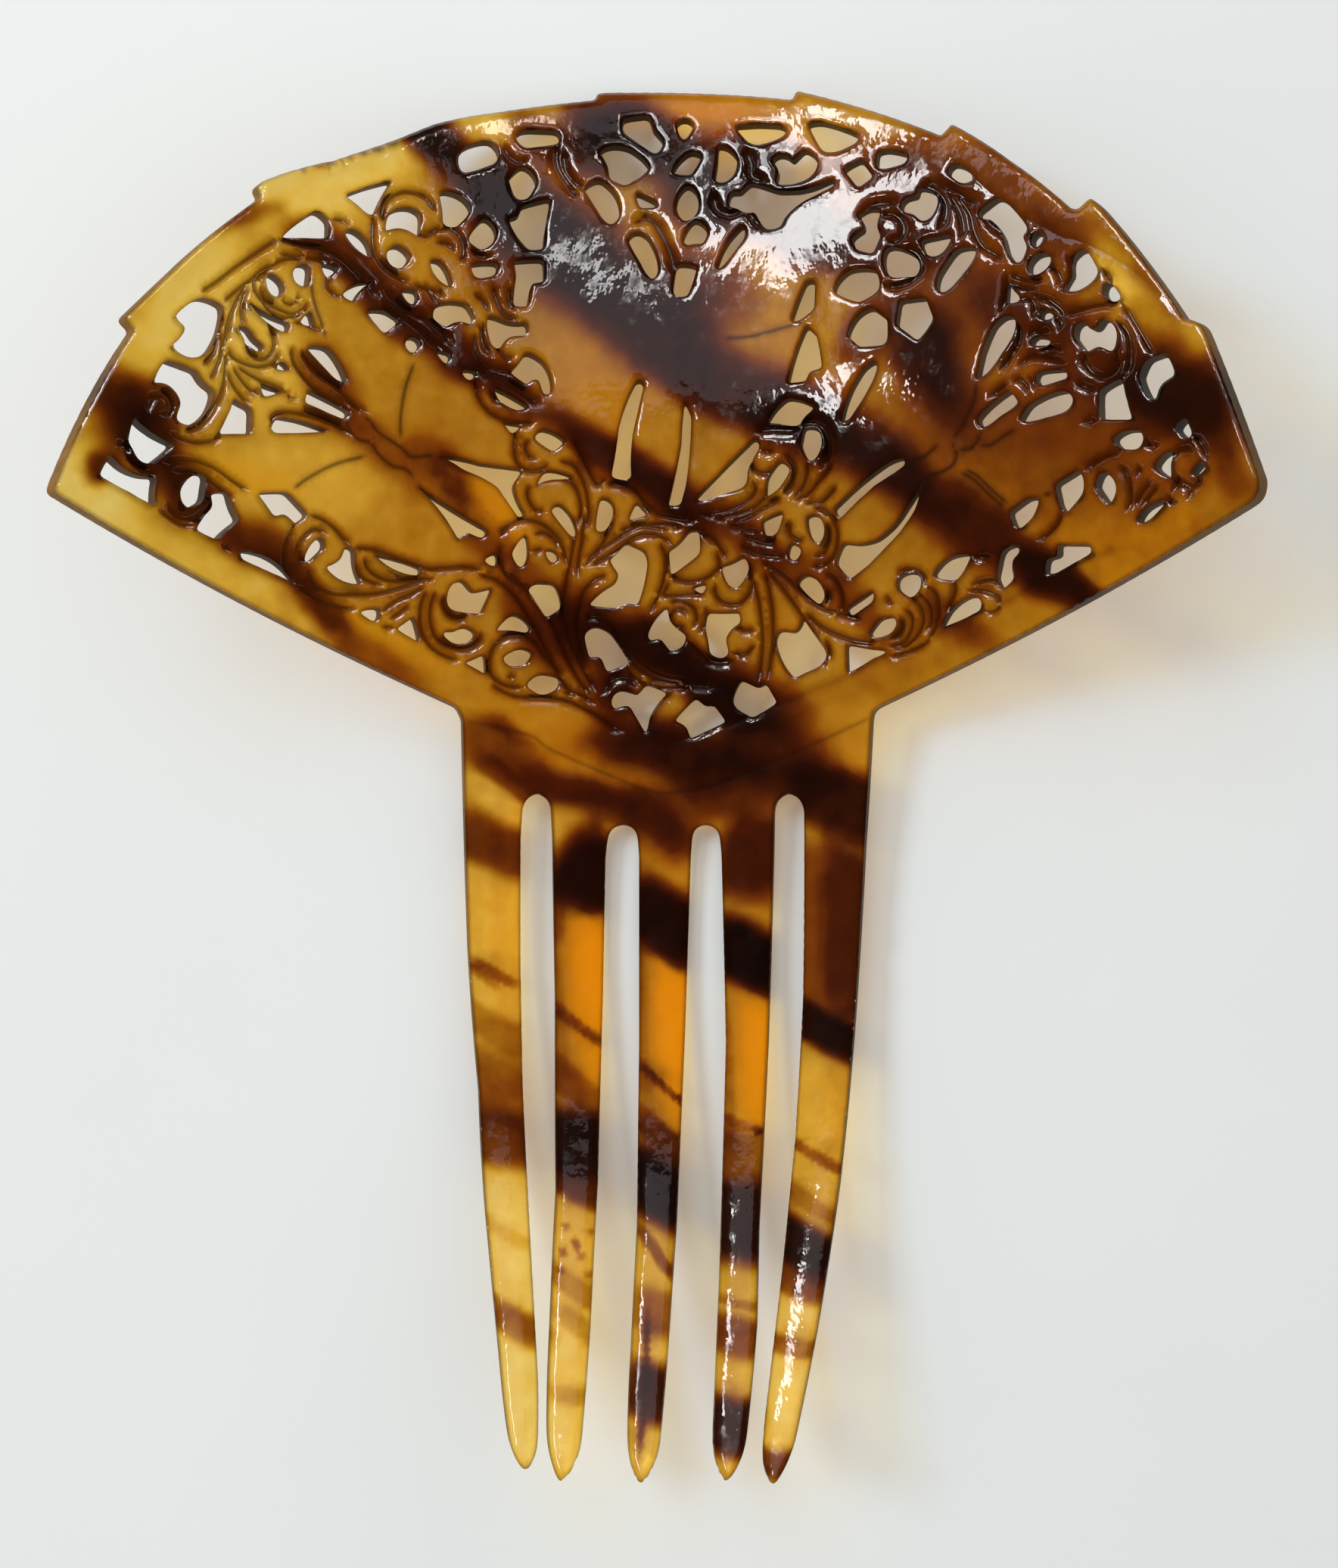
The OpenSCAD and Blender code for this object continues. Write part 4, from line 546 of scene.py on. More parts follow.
# %% Grooves of the left half, between leaves and scrolls
left_grooves = [
    # long left leaf
    [-72.4, 65, -69.5, 67, -66, 69.7, -62.5, 72.2, -59.5, 74.3],
    [-68.8, 64, -65.5, 66.8, -62.5, 69, -59, 71.2, -55.5, 71.8],
    [-68.6, 62.8, -69.3, 59.5, -70.2, 56.8, -72.2, 54.8],
    [-68.9, 60.5, -68.9, 57.5, -70, 54.5, -71.2, 53],
    [-68.4, 57, -68.3, 59.4, -67.6, 62, -66.5, 64.5, -64.8, 67, -62.6, 69.2, -60.4, 70.6],
    [-68.1, 58, -68.6, 53, -69.8, 50, -72, 47, -75, 45.6],
    [-68.1, 55.3, -67.3, 53, -65.4, 51, -64.2, 50.3],
    [-67.5, 55.8, -66.1, 53.9, -64.5, 52.4, -63.2, 51.5],
    [-67, 55.7, -65, 54.7, -63, 53.9, -60.5, 53.2, -58, 52.2],
    [-64.4, 67, -65.4, 65, -65.8, 63, -65.2, 60.8],
    [-77, 45.6, -73, 44.6, -69, 45.2],
    [-78, 41.6, -74, 42.2, -70, 41.4, -66.8, 39.7, -64.2, 38.4],
    [-76.4, 40.5, -73, 40.8, -69.5, 39.2, -66.5, 37.2],
    [-84.2, 42.6, -82, 40.6, -78.5, 39.6],
    [-68.2, 58.5, -67.3, 56.8, -65.5, 56, -63, 55.7, -60.8, 56.6, -59.9, 58.5],
    [-61.2, 70, -63, 68.6, -63.7, 66.9, -62.5, 65.1, -60.4, 64.2, -57.8, 63.6, -56, 64.4, -55.3, 65.8],
    [-59.3, 66.2, -58.9, 65.1, -57.6, 65, -57, 65.6],
    # top left scrolls
    [-60, 74.2, -56, 73.4, -52, 73.2, -49, 71.8, -46.5, 69.5, -44, 66.5],
    [-60, 72, -56, 71.8, -51.5, 71.6],
    [-51.6, 77.8, -49.6, 77.9, -48.4, 76.8],
    [-44.4, 79, -44.8, 76.4, -44.4, 73, -42, 70.6, -39, 69.4],
    [-37.8, 76.2, -36, 76.8, -34, 78],
    [-39, 69.4, -36, 68.6, -33.5, 67.6],
    [-43.6, 78, -42.4, 81.4, -39.6, 83, -36.4, 82.4, -34.8, 80],
    [-37.2, 76.8, -35, 77.6, -32.6, 77.9, -31, 76.6, -30.6, 74.5, -31.6, 72.8],
    [-35.4, 75.4, -34.2, 75.8, -32.8, 75.4, -32, 74.2],
    [-30, 74.8, -28, 74, -26, 74.2],
    # leaves over and under the left butterfly
    [-44, 66.5, -41.6, 64.4, -40, 64.2, -37.6, 62.6, -35.6, 60.8, -33.6, 60],
    [-43.6, 68.8, -40.5, 65.6, -36.8, 64.4, -34, 62.4, -32.4, 60.6],
    [-37.4, 70, -35.6, 67.6, -34.6, 66],
    [-51.8, 70, -52.2, 68, -51, 66.8, -50, 66.6],
    [-58, 59.4, -57.8, 57, -56.2, 54.8, -54, 53, -51.4, 51.8, -49, 50.6],
    [-56.6, 59, -56.4, 57.8, -54.5, 55.6, -51, 53.6, -48.5, 51.6, -46, 50.3],
    [-58.2, 62.4, -56, 62.4, -54.5, 61.8, -52.8, 61.7],
    [-61.6, 47.8, -60.6, 49.4, -58, 49.8, -54, 49.2, -50.4, 48, -48.6, 47],
    [-59, 53, -58.2, 51.8, -57, 51.6],
    # foot of the left half
    [-78.6, 35.3, -76.5, 34.2, -74.5, 33.3, -72.5, 33.2],
    [-68.6, 31.3, -67.5, 30.4, -66.5, 29.9],
    [-56.5, 26, -54, 24.6, -51, 23.5, -48.5, 23, -46.6, 22.9],
    [-43.4, 20.6, -42, 20.4, -40.4, 20.4],
    [-57, 34.2, -58, 32, -58.3, 29.8, -57.8, 27.6, -56.5, 26],
    [-55.2, 35.8, -53, 35.3, -51, 34.2, -49.5, 32.8, -48, 31.6],
    [-54.6, 29, -56.1, 29.6, -56.3, 31.4, -55.2, 33, -53.6, 33.8, -51.8, 33],
    [-54.6, 28.8, -54.2, 27.4, -53, 25.9, -50.5, 24.9, -47.5, 24.9, -44, 25.1, -40.5, 25.9, -37.5, 26.8, -34.8, 27.9],
    [-46.2, 30.6, -45.4, 28.6, -43.5, 27.4, -41, 26.9, -38, 27.1, -35.5, 27.8],
    [-47.4, 29.8, -46.6, 27.8, -45, 26.8, -42.6, 26.2],
    [-48, 31.5, -44, 31.2, -40, 30, -36, 28.9, -33.5, 29, -30, 29.2, -27.5, 28.6],
    [-43.2, 22.4, -41, 24, -38.5, 25.2, -36, 26.5],
    [-42, 21.4, -40, 22.6, -38.4, 24],
    [-36, 26.2, -36.9, 23.5, -36.8, 20.8, -35.7, 18.3, -33.4, 16.6, -30.5, 15.8],
    [-34.6, 26, -35.4, 23.5, -35.2, 20.8, -34, 18.6, -32, 17.6, -29.5, 17.5, -27.8, 18.6, -27.4, 20.4],
    [-33.6, 25.6, -33.6, 23.6, -32.6, 22.2, -31, 21.7, -29.4, 22.2],
]

# %% Grooves of the middle
middle_grooves = [
    # root of the leaves over the tooth plate
    [-20.5, 12.3, -22, 12, -24.3, 12.6, -25.8, 14, -26, 16.3, -25.2, 18.2, -23.2, 19.4, -21, 19.5, -19, 18.4,
     -17.8, 16.8, -16, 15, -14.5, 13.5],
    [-23.8, 13.8, -22.6, 13.5, -21.6, 14],
    [-12.5, 10.5, -14.6, 12.6, -16.3, 15.5, -18, 18.5, -19.6, 21.5, -22, 24.8, -25, 27.2, -28.5, 28.4],
    [-10.5, 10.8, -12.8, 14, -14.8, 17.6, -16.2, 20.8, -18.6, 24.2, -21.6, 27, -24, 29],
    [-9.6, 11.5, -11.8, 15, -13.4, 18.5, -14.4, 21.5, -14.7, 25, -14.3, 28, -13.6, 31, -13.2, 34, -13.4, 37],
    [-11.2, 14, -12.3, 18, -12.5, 22, -11.9, 25.5, -10, 27.6, -7.6, 28.5],
    [-12.6, 28, -12.4, 31, -11.8, 34, -11.5, 37.5],
    [-11.5, 30, -9, 32.5, -7.6, 35, -7, 38],
    [-12, 29.5, -9.5, 31.6, -7, 33.2, -4.5, 34.6, -2, 35.4, 1, 35.6, 4, 35],
    [-10.6, 29.6, -7, 31.6, -4, 33.6, -1.5, 34.2, 1, 33.6, 2.5, 32.4],
    [0.2, 33.4, 1.1, 31, 0.9, 28, 0, 25.5, -1.2, 23],
    [2, 27.8, 1, 26, 0.4, 24.6],
    [-25, 33, -24.6, 30, -23.5, 28, -21.5, 26.9, -19.6, 26.8],
    [-25, 33.5, -23.8, 35, -21.5, 36, -18.5, 35.6, -16.2, 34, -14.9, 32, -14.3, 29.5],
    [-20.3, 31.7, -18.6, 31.9, -17.6, 31.6],
    [-20, 34, -18, 34.3, -16.4, 33.4, -15.4, 31.8],
    [-26, 12.6, -23, 11, -20, 10.5, -17, 10.4, -14, 10, -11, 8.7, -8, 7, -5.5, 5.6],
    [-15, 11.3, -12, 11, -9.8, 9.6],
    [-8.8, 11, -7, 13.2, -4.6, 13.5, -3, 12],
    [-5, 15.2, -3.4, 13.4, -1, 12.2, 2, 11.9, 5, 12],
    [-7.5, 19.5, -5, 17, -3, 14.8, 0, 13.2, 4, 12.4],
    [-11.8, 22.5, -9, 22.3, -6.6, 20.6, -4.5, 17.5, -2, 15, 1, 13.6, 5, 13],
    # scrolls left of the middle butterfly
    [-29, 63, -29, 60.5, -27.8, 58.4, -25.5, 57.4, -22.8, 57.5, -21, 58.8, -20.5, 60.3],
    [-26.4, 60.6, -25.2, 60.1, -24, 59.2, -22.6, 59.6],
    [-28, 64.5, -27.9, 61.5, -26.4, 59.2],
    [-29.5, 68.5, -27.6, 67.2, -26.8, 65.4],
    [-26.2, 70, -25.6, 67.5, -24.4, 65.6, -22, 64.8],
    [-23.6, 70, -23.6, 67.5, -22.6, 65.8],
    [-28.8, 57.8, -25, 56.2, -21, 54, -18.5, 52.5],
    [-29, 56, -28.8, 53.8, -27.2, 51.6, -24.8, 50.3, -22, 49.8, -19.6, 50],
    [-27, 54.8, -26.2, 53.4, -24.6, 52.4],
    [-22.4, 49, -22.8, 46.5, -22.3, 44.2, -20.8, 43.2, -18.6, 43.3, -17.2, 44.4],
    [-20.6, 48, -21, 46.2, -20.2, 45, -19, 44.8],
    [-14, 47.6, -12.6, 46, -11.2, 43.5, -9.8, 41.4, -9, 41.5, -8, 42.4],
    [-16, 44.6, -13.6, 44, -12, 42, -11.2, 39.5, -11, 37, -11.6, 34.5],
    [-20.4, 41.5, -20.6, 39.4, -19.4, 37.6, -17.6, 37.4],
    [-18.4, 42, -16.5, 42.4, -14, 41.8, -12.6, 40, -12.2, 37.6, -12.6, 35],
    [-8.6, 41.4, -6, 41.2, -3.6, 40.2, -2, 38.5, 0, 37, 3, 36.4, 6, 36.2],
    [-6.4, 34.6, -4.4, 35.2, -2.4, 35.3, 2, 34.8],
    # under the top border
    [-24, 92, -23.2, 90, -21.6, 88.9, -20, 89.5],
    [-14.6, 91, -14.4, 88, -13, 86, -11.4, 85],
    [-15.6, 92, -15.6, 88.6, -14, 85.6, -12.4, 83.4],
    [-4, 79.5, -2, 80.5, 0, 79, 2, 75, 2.6, 72],
    [8.6, 84.6, 9.2, 82, 11.2, 81, 13.6, 81.6, 15.2, 80, 16.4, 78.6],
    [13.4, 91.4, 14.4, 89, 14.6, 87, 17, 85.8],
    # under the middle butterfly
    [15.4, 48.6, 17.4, 49, 20, 49, 22.6, 48.8],
    [22.3, 49.6, 24.6, 49.8, 26.4, 48.8, 27.2, 46.6, 26.8, 44.4, 25.6, 43],
    [14.8, 44.8, 15.6, 43.2, 17.2, 42.8, 18.6, 43.8],
    [15.8, 46.2, 17, 46, 18.8, 45.6],
    [19.6, 45.6, 21, 44.6, 21.8, 43, 21.2, 41, 19.8, 39.4],
    [23.4, 44.4, 23.6, 42.6, 22.8, 40.6, 21.4, 39],
    [15.2, 42, 15.4, 40.2, 13.6, 38.6, 10.6, 37.4, 7, 37],
    [17.2, 41.4, 17, 39.6, 15, 37.9, 12, 36.8, 9, 36.4],
    [20, 39.4, 17.4, 38.2, 14, 36.6, 11.5, 35.8],
    [28, 44, 25.4, 41.4, 23.6, 39.6, 21.4, 38.9],
    [28.6, 41, 26.8, 39.2, 25.4, 38.4, 23, 38.6],
]

# %% Grooves of the right half
right_grooves = [
    # plant right of the middle
    [14.4, 30.6, 14.8, 28, 15.6, 25, 16, 22, 16.2, 19, 16, 16, 15.6, 13],
    [16.6, 29, 17.4, 26, 17.8, 22.6, 17.8, 19, 17.4, 16, 17, 13.2],
    [17, 29, 19.4, 26.4, 22, 23, 24.2, 19.8, 25.8, 17, 26.2, 14.8],
    [16, 30.5, 20, 27.8, 24, 24.4, 28, 22.6, 32, 21.6],
    [22.6, 23, 26, 20.4, 30, 18.8, 34, 18.2],
    [9, 27.6, 9, 25.6, 10.4, 24.3, 12.6, 24.2, 14.2, 25.6, 15.2, 28],
    [6.4, 34.4, 8.4, 33.6, 10.2, 31.6, 10.6, 30],
    [9, 32, 9.6, 30, 8.6, 28.6, 6.6, 27.6, 4.2, 27.4, 1.4, 28.2],
    [12.6, 32.8, 15.4, 31.4, 18.4, 30.9, 20.4, 31.3],
    [13, 34.2, 15.6, 33.2, 18, 32.8, 18.8, 33.8],
    [11, 36, 13.6, 34.8, 16.4, 34.4],
    [24.2, 38, 26.8, 37, 28.2, 34.6, 28, 32, 26.6, 30, 24, 29.3],
    [26.8, 36, 27.2, 33.6, 26.2, 31.4, 24.4, 30.8],
    [21, 36.4, 20.8, 34.2, 22.4, 33.2, 23.2, 34],
    [26, 28.8, 28, 27.2, 28.8, 25, 28.6, 23.4, 27.6, 22.6],
    [26.6, 26.8, 26.8, 25, 26.2, 23.6],
    [1.4, 24.4, 3.4, 24.6, 5.4, 23.8, 6, 22, 5.2, 20.6],
    [7.4, 24.2, 7.4, 21.8, 6.2, 19.8],
    [-0.4, 25.4, 1.4, 25.4, 4, 25.4, 6.2, 25.6, 7.4, 25],
    [12, 20.4, 14, 20.4, 15.6, 20.4],
    [11.2, 17.4, 13.4, 17, 15.4, 18.6],
    [4.6, 19, 6.6, 17.4, 8.2, 16, 10.4, 15.8, 12.2, 16.4],
    [-2, 13.4, 1, 12.8, 5, 12.4, 9, 12.2],
    [-1.6, 6, -0.8, 8.6, 0.6, 10.4, 2.6, 11.6],
    [26.4, 15.4, 26.6, 17.4, 25.8, 19.4],
    # foot of the right half
    [37.4, 22.6, 38.2, 21, 37.6, 19.4, 36, 18.6],
    [38, 23.4, 39.4, 22, 39.2, 20, 37.8, 18.2, 35.6, 17.8],
    [39, 24.6, 40.6, 23.6, 41.2, 21.6, 40.4, 19.6, 38.6, 18, 36.4, 17.2],
    [40.8, 25.2, 42.2, 23.6, 42.4, 21.4, 41.4, 19.4],
    [42, 26.6, 43.4, 24.8, 43.6, 22.4, 42.8, 20.2, 42, 18.8, 40.4, 17.6, 38, 16.9, 35.7, 16.3],
    [46.4, 27, 46.2, 25, 44.6, 22.2],
    [37.2, 27.6, 38.4, 28.6, 40.2, 28.6, 41.6, 27.6, 41.8, 26],
    [35.8, 25.6, 36, 24.2, 37.2, 23.8],
    [48, 25.4, 50, 25.4, 51.8, 25, 53, 24.2, 53, 23, 51.8, 22.4, 50.6, 22.6],
    [50.8, 23.6, 51, 22.8],
    [48.6, 25.9, 50.6, 26.6, 52.4, 26.6, 53.2, 25.6],
    [49.2, 30.3, 50.8, 30, 52.6, 30],
    [59.5, 31.9, 61.5, 33, 63, 34.4, 63.6, 36],
    # scrolls over the right butterfly
    [41.5, 84.6, 45, 83.2, 48, 81.4, 50.4, 80.2],
    [41, 84.2, 43.6, 82.8, 45, 80.8, 45, 78.6, 44, 76.8],
    [46.6, 82, 48.8, 79, 49.6, 76.4, 51, 74, 53.4, 72.4, 54.6, 71.4],
    [45.2, 82.6, 47.2, 79.6, 48, 76.8, 47.6, 75.2],
    [31.4, 80.2, 33.4, 81.4, 36, 81.6, 37.6, 81],
    [34.8, 79.6, 36.4, 80, 38, 79, 38.6, 77.2, 37.6, 75.8, 36, 76],
    [38.4, 74.6, 40.4, 74, 41.6, 72.4, 41.4, 70.8, 39.6, 69.4, 37.4, 69, 35.6, 69.4],
    [61.8, 69.4, 63, 69, 63.6, 67.8, 63, 66.8],
    [64.4, 71.6, 65.2, 69.8, 64.8, 67.8, 63.6, 66.4],
    [55.4, 69.6, 57.4, 68.6, 59.6, 68, 61.2, 67.9],
    [55.2, 68.4, 57.6, 67.4, 60.4, 66.6],
    [51, 78.2, 52.2, 77, 53.4, 76, 54.6, 74.6],
    [55.2, 69.8, 55, 67, 54.6, 64.8, 54, 63.8],
    [56.6, 65.4, 58.2, 65.8, 59.2, 65.4, 59.8, 64.2, 59.4, 62.6],
    [58.8, 66.2, 61, 65.6, 63, 64.4, 65, 62.4],
    [61, 62.4, 62.4, 63, 63.8, 62, 63.6, 60.4],
    [58.8, 59.8, 59.4, 60.8, 61, 60.9, 62.4, 60.6],
    [60.4, 57.8, 63, 58.4, 64.4, 57.6],
    [57, 56, 59, 57.4, 62, 57, 65, 56],
    [57.2, 62.6, 57.4, 60, 56, 57.6, 54.4, 55.6],
    [56.2, 53.8, 57.2, 54.4, 58.4, 53.6, 58.6, 52.2],
    [58.6, 55, 59.4, 54, 59.8, 52.6],
    [52.6, 52, 54.4, 53.4, 56, 54.2],
    # far right
    [70.3, 69, 71.2, 67.6, 72, 66.2],
    [63, 62.6, 66, 63.3, 70, 63.8, 73, 63.3],
    [73.5, 63.5, 75, 61.3, 76.5, 59, 77.8, 57, 78.8, 55.8],
    [72.5, 61.5, 74.3, 59.5, 74.9, 57, 74.6, 54.5, 73.8, 53],
    [67.3, 57.4, 67.8, 55.8, 69, 54.4, 71, 53.9, 72.6, 54.8, 73, 56.6],
    [66.2, 53.3, 68, 52.5, 69.8, 51.7],
    [67.2, 47.5, 68.6, 47.8, 70, 47.7],
    [67.3, 41, 70, 42.6, 73.5, 43.5],
    [72.8, 41.8, 74, 40, 74.4, 38, 74.2, 36, 73.6, 35],
    [75.9, 41.6, 76, 40.6, 75.4, 39.4],
    [74.6, 35.2, 76, 37.4, 78.2, 39.4],
    [75.9, 35.4, 77.2, 37, 79.2, 38.8],
    [81, 41.4, 82, 42.7, 83.4, 42.8, 84.6, 42.1],
    [84.4, 44.8, 85.9, 43, 86.8, 40.8],
    [82, 39.6, 82.8, 38.2, 84.4, 37.9, 86, 38.8],
    [80.2, 37.4, 80.8, 36, 82, 35.9],
    [77, 43.6, 79.5, 43.7],
]

# %% Curls of the scrolls
curls = [
    [-78.2, 48.8, 2.3, 0.6, 200, -330],
    [-63.4, 58.8, 3.0, 0.9, 60, -340],
    [-57.8, 66.2, 1.6, 0.6, 200, 200],
    [-58.8, 67.2, 4.2, 4.2, 180, 130],
    [-73.8, 37.6, 3.6, 3.6, 200, 140],
    [-84.2, 42.4, 1.2, 0.5, 160, -250],
    [3.3, 22.2, 1.3, 1.3, 0, 330],
    [82.4, 37.1, 1.3, 1.3, 300, 250],
]
CURL_STEP = 15
FEWEST_CURL_POINTS = 6


def curl_line(across, along, outer, inner, start, turn):
    share = np.linspace(0, 1, max(FEWEST_CURL_POINTS, int(abs(turn) / CURL_STEP)))
    angle = np.radians(start + turn * share)
    radius = outer + (inner - outer) * share
    return np.column_stack((across + radius * np.cos(angle), along + radius * np.sin(angle))).ravel().tolist()


curl_lines = [curl_line(*row) for row in curls]
leaf_grooves = left_grooves + middle_grooves + right_grooves
print(len(curls), "curls and", len(leaf_grooves), "grooves between leaves")

# %% Gather the grooves with their width and depth
GROOVE_KINDS = {
    # name: (lines, half width in mm, depth in mm, depth of the hollow beside it in mm, share of dirt and painted
    # shade)
    "vein": (wing_veins, 0.60, 0.015, 0.0, 1.0),
    "leaf": (leaf_grooves, 0.62, 0.62, 0.42, 1.0),
    "curl": (curl_lines, 0.62, 0.62, 0.42, 1.0),
    "rule": (plate_lines, 0.50, 0.06, 0.0, 0.6),
    "bevel": (border_lines, 0.90, 0.10, 0.10, 0.25),
}
CURVE_STEP = 0.25
FADE_LENGTH = 1.2
END_WIDTH = 0.55
END_DEPTH = 0.3


def flowing(points):
    """A smooth line through the given points: each piece leaves and arrives along its two neighbours."""
    keys = np.array(points, dtype=float).reshape(-1, 2)
    ends = np.vstack((2 * keys[0] - keys[1], keys, 2 * keys[-1] - keys[-2]))
    pieces = []
    for a, b, c, d in zip(ends, ends[1:], ends[2:], ends[3:]):
        t = np.linspace(0, 1, max(2, int(np.hypot(*(c - b)) / CURVE_STEP)), endpoint=False)[:, None]
        pieces.append(0.5 * (2 * b + (c - a) * t + (2 * a - 5 * b + 4 * c - d) * t ** 2
                             + (3 * b - a - 3 * c + d) * t ** 3))
    return np.vstack(pieces + [keys[-1:]])


grooves = [(flowing(line), *sizes) for lines, *sizes in GROOVE_KINDS.values() for line in lines]
groove_points = []
groove_sizes = []
for line, width, depth, hollow, dirt_and_shade_share in grooves:
    samples = dense(line, False)
    groove_points.append(samples)
    steps = np.arange(len(samples))
    fade = np.minimum(1, np.minimum(steps, steps[::-1]) * LINE_SAMPLE / FADE_LENGTH)
    wide = width * (END_WIDTH + (1 - END_WIDTH) * fade)
    deep = depth * (END_DEPTH + (1 - END_DEPTH) * fade)
    groove_sizes.append(np.column_stack((wide, deep, hollow * fade, dirt_and_shade_share * fade)))
groove_points = np.vstack(groove_points)
groove_sizes = np.vstack(groove_sizes)
groove_tree = tree_of(groove_points)
print(len(grooves), "grooves,", round(len(groove_points) * LINE_SAMPLE), "mm of carving")

# %% [markdown]
# ## The height of the carved side
# The side that faces up is worked: edges are filed round, the teeth are crowned so that they slide through
# hair, and the grooves are cut. Each of these is a small function of a distance, and the height of a point is
# the full thickness less all of them.

# %% Height and dirt of the worked side
# filed edges: width of the rounding, its drop, and how uneven the file left the gaps
GAP_ROUND, GAP_DROP = 0.72, 0.45
BORDER_ROUND, BORDER_DROP = 1.1, 0.75
FILE_LENGTH, FILE_MEAN, FILE_SPREAD = 3.2, 0.95, 0.9
FILE_LIMITS = (0.3, 1.5)
# crown of the teeth: its radius, and where along the teeth it starts and is full
CROWN_RADIUS, CROWN_START, CROWN_FULL = 20.0, -8.6, -26.0
HOLLOW_WIDTH = 1.9
# dirt and painted shade, darker in the cuts and along the rims: how far it reaches from a cut, a gap and the border,
# and its share there
CUT_REACH, CUT_FALL = 1.2, 1.4
RIM_REACH, RIM_DIRT_AND_SHADE = 0.4, 0.9
EDGE_REACH, EDGE_DIRT_AND_SHADE = 0.5, 0.95
CHIP_DIRT = 2.2
# painted shade, darker in the hollows beside the grooves and along the gaps: width, strength and how fast it falls
VALLEY_WIDTH, VALLEY_PAINTED_SHADE, VALLEY_FALL = 1.35, 0.42, 1.3
VALLEY_HOLLOW = 0.3
RIM_WIDTH, GAP_EDGE_PAINTED_SHADE, RIM_FALL = 1.0, 0.34, 1.5
CHUNKS = 400
chips = [
    # worn places on the border's upper left edge: across, along, radius, depth
    (-55.4, 85.3, 1.1, 0.3), (-53.2, 86.1, 1.0, 0.3), (-50.8, 87.0, 1.4, 0.4), (-48.2, 88.1, 1.3, 0.3),
    (-45.8, 89.0, 1.5, 0.4), (-43.6, 90.0, 2.0, 0.4), (-41.4, 91.0, 2.0, 0.3), (-39.2, 92.0, 1.7, 0.2),
    (-37.0, 92.9, 1.2, 0.1), (-34.9, 93.7, 0.8, 0.1), (-51.2, 85.8, 0.5, 0.3), (-49.0, 86.4, 0.5, 0.3),
]


def near_share(distance, reach):
    """1 on a line, falling to 0 at its reach."""
    return np.clip(1 - distance / reach, 0, 1)


def over(first, second):
    """Two shares laid over each other, for dye and for painted shade alike."""
    return 1 - (1 - first) * (1 - second)


def rounding(distance, width, drop):
    inward = np.clip(distance / width, 0, 1)
    return drop * (1 - np.sqrt(1 - (1 - inward) ** 2))


def off_middle(points):
    """How far a point of a tooth lies from the tooth's middle line, in millimetres. It is 0 above the teeth."""
    result = np.zeros(len(points))
    starts, ends = border_loop, np.roll(border_loop, -1, axis=0)
    low = np.flatnonzero(points[:, 1] < CROWN_START)
    for chunk in np.array_split(low[np.argsort(points[low, 1])], CHUNKS):
        x, y = points[chunk, 0][:, None], points[chunk, 1][:, None]
        hit = (starts[None, :, 1] <= y) != (ends[None, :, 1] <= y)
        climb = np.where(ends[:, 1] == starts[:, 1], 1.0, ends[:, 1] - starts[:, 1])
        crossing = starts[:, 0] + (y - starts[None, :, 1]) * ((ends[:, 0] - starts[:, 0]) / climb)[None, :]
        left = np.where(hit & (crossing <= x), crossing, -np.inf).max(axis=1)
        right = np.where(hit & (crossing > x), crossing, np.inf).min(axis=1)
        found = np.isfinite(left) & np.isfinite(right)
        result[chunk[found]] = x[found, 0] - (left[found] + right[found]) / 2
    return result


def worked_side(points):
    """Height of the worked side over the back, from 0 to 1 the dirt and painted shade in its cuts and along its rims,
    and the painted shade beside the cuts and gaps.
    """
    across, along = points.T
    to_border = nearest(border_tree, points)[0]
    to_gap = nearest(gap_tree, points)[0]
    to_groove, sample = nearest(groove_tree, points)
    width, depth, hollow, dirt_and_shade_share = groove_sizes[sample].T
    height = thickness(along)
    crown = np.clip((CROWN_START - along) / (CROWN_START - CROWN_FULL), 0, 1)
    height = height - rounding(to_border, BORDER_ROUND, BORDER_DROP)
    height = height - crown * np.square(off_middle(points)) / (2 * CROWN_RADIUS)
    strokes = np.array([noise.noise((x / FILE_LENGTH, y / FILE_LENGTH, 0)) for x, y in points])
    pressed = np.clip(FILE_MEAN + FILE_SPREAD * strokes, *FILE_LIMITS)
    height = height - rounding(to_gap, GAP_ROUND, GAP_DROP) * pressed
    near = np.clip(to_groove / width, 0, 1)
    height = height - depth * (0.5 + 0.5 * np.cos(np.pi * near))
    height = height - hollow * np.square(near_share(to_groove, HOLLOW_WIDTH))
    # dirt and painted shade: darker in the cuts, along the rims of the gaps and along the border
    cut = np.power(np.clip(CUT_REACH - to_groove / width, 0, 1), CUT_FALL) * dirt_and_shade_share
    rim = RIM_DIRT_AND_SHADE * near_share(to_gap, RIM_REACH)
    edge = EDGE_DIRT_AND_SHADE * near_share(to_border, EDGE_REACH)
    worn = np.zeros(len(points))
    for chip_across, chip_along, radius, chip_depth in chips:
        near = near_share(np.hypot(across - chip_across, along - chip_along), radius)
        height = height - chip_depth * np.sqrt(near)
        worn = np.maximum(worn, np.clip(CHIP_DIRT * near, 0, 1))
    # painted shade: darker in the hollows beside the grooves and along the edges of the gaps
    valley_shade = VALLEY_PAINTED_SHADE * near_share(to_groove, VALLEY_WIDTH) ** VALLEY_FALL * np.clip(hollow / VALLEY_HOLLOW, 0, 1)
    gap_edge_shade = GAP_EDGE_PAINTED_SHADE * near_share(to_gap, RIM_WIDTH) ** RIM_FALL
    return height, np.maximum.reduce((cut, rim, edge, worn)), over(valley_shade, gap_edge_shade)


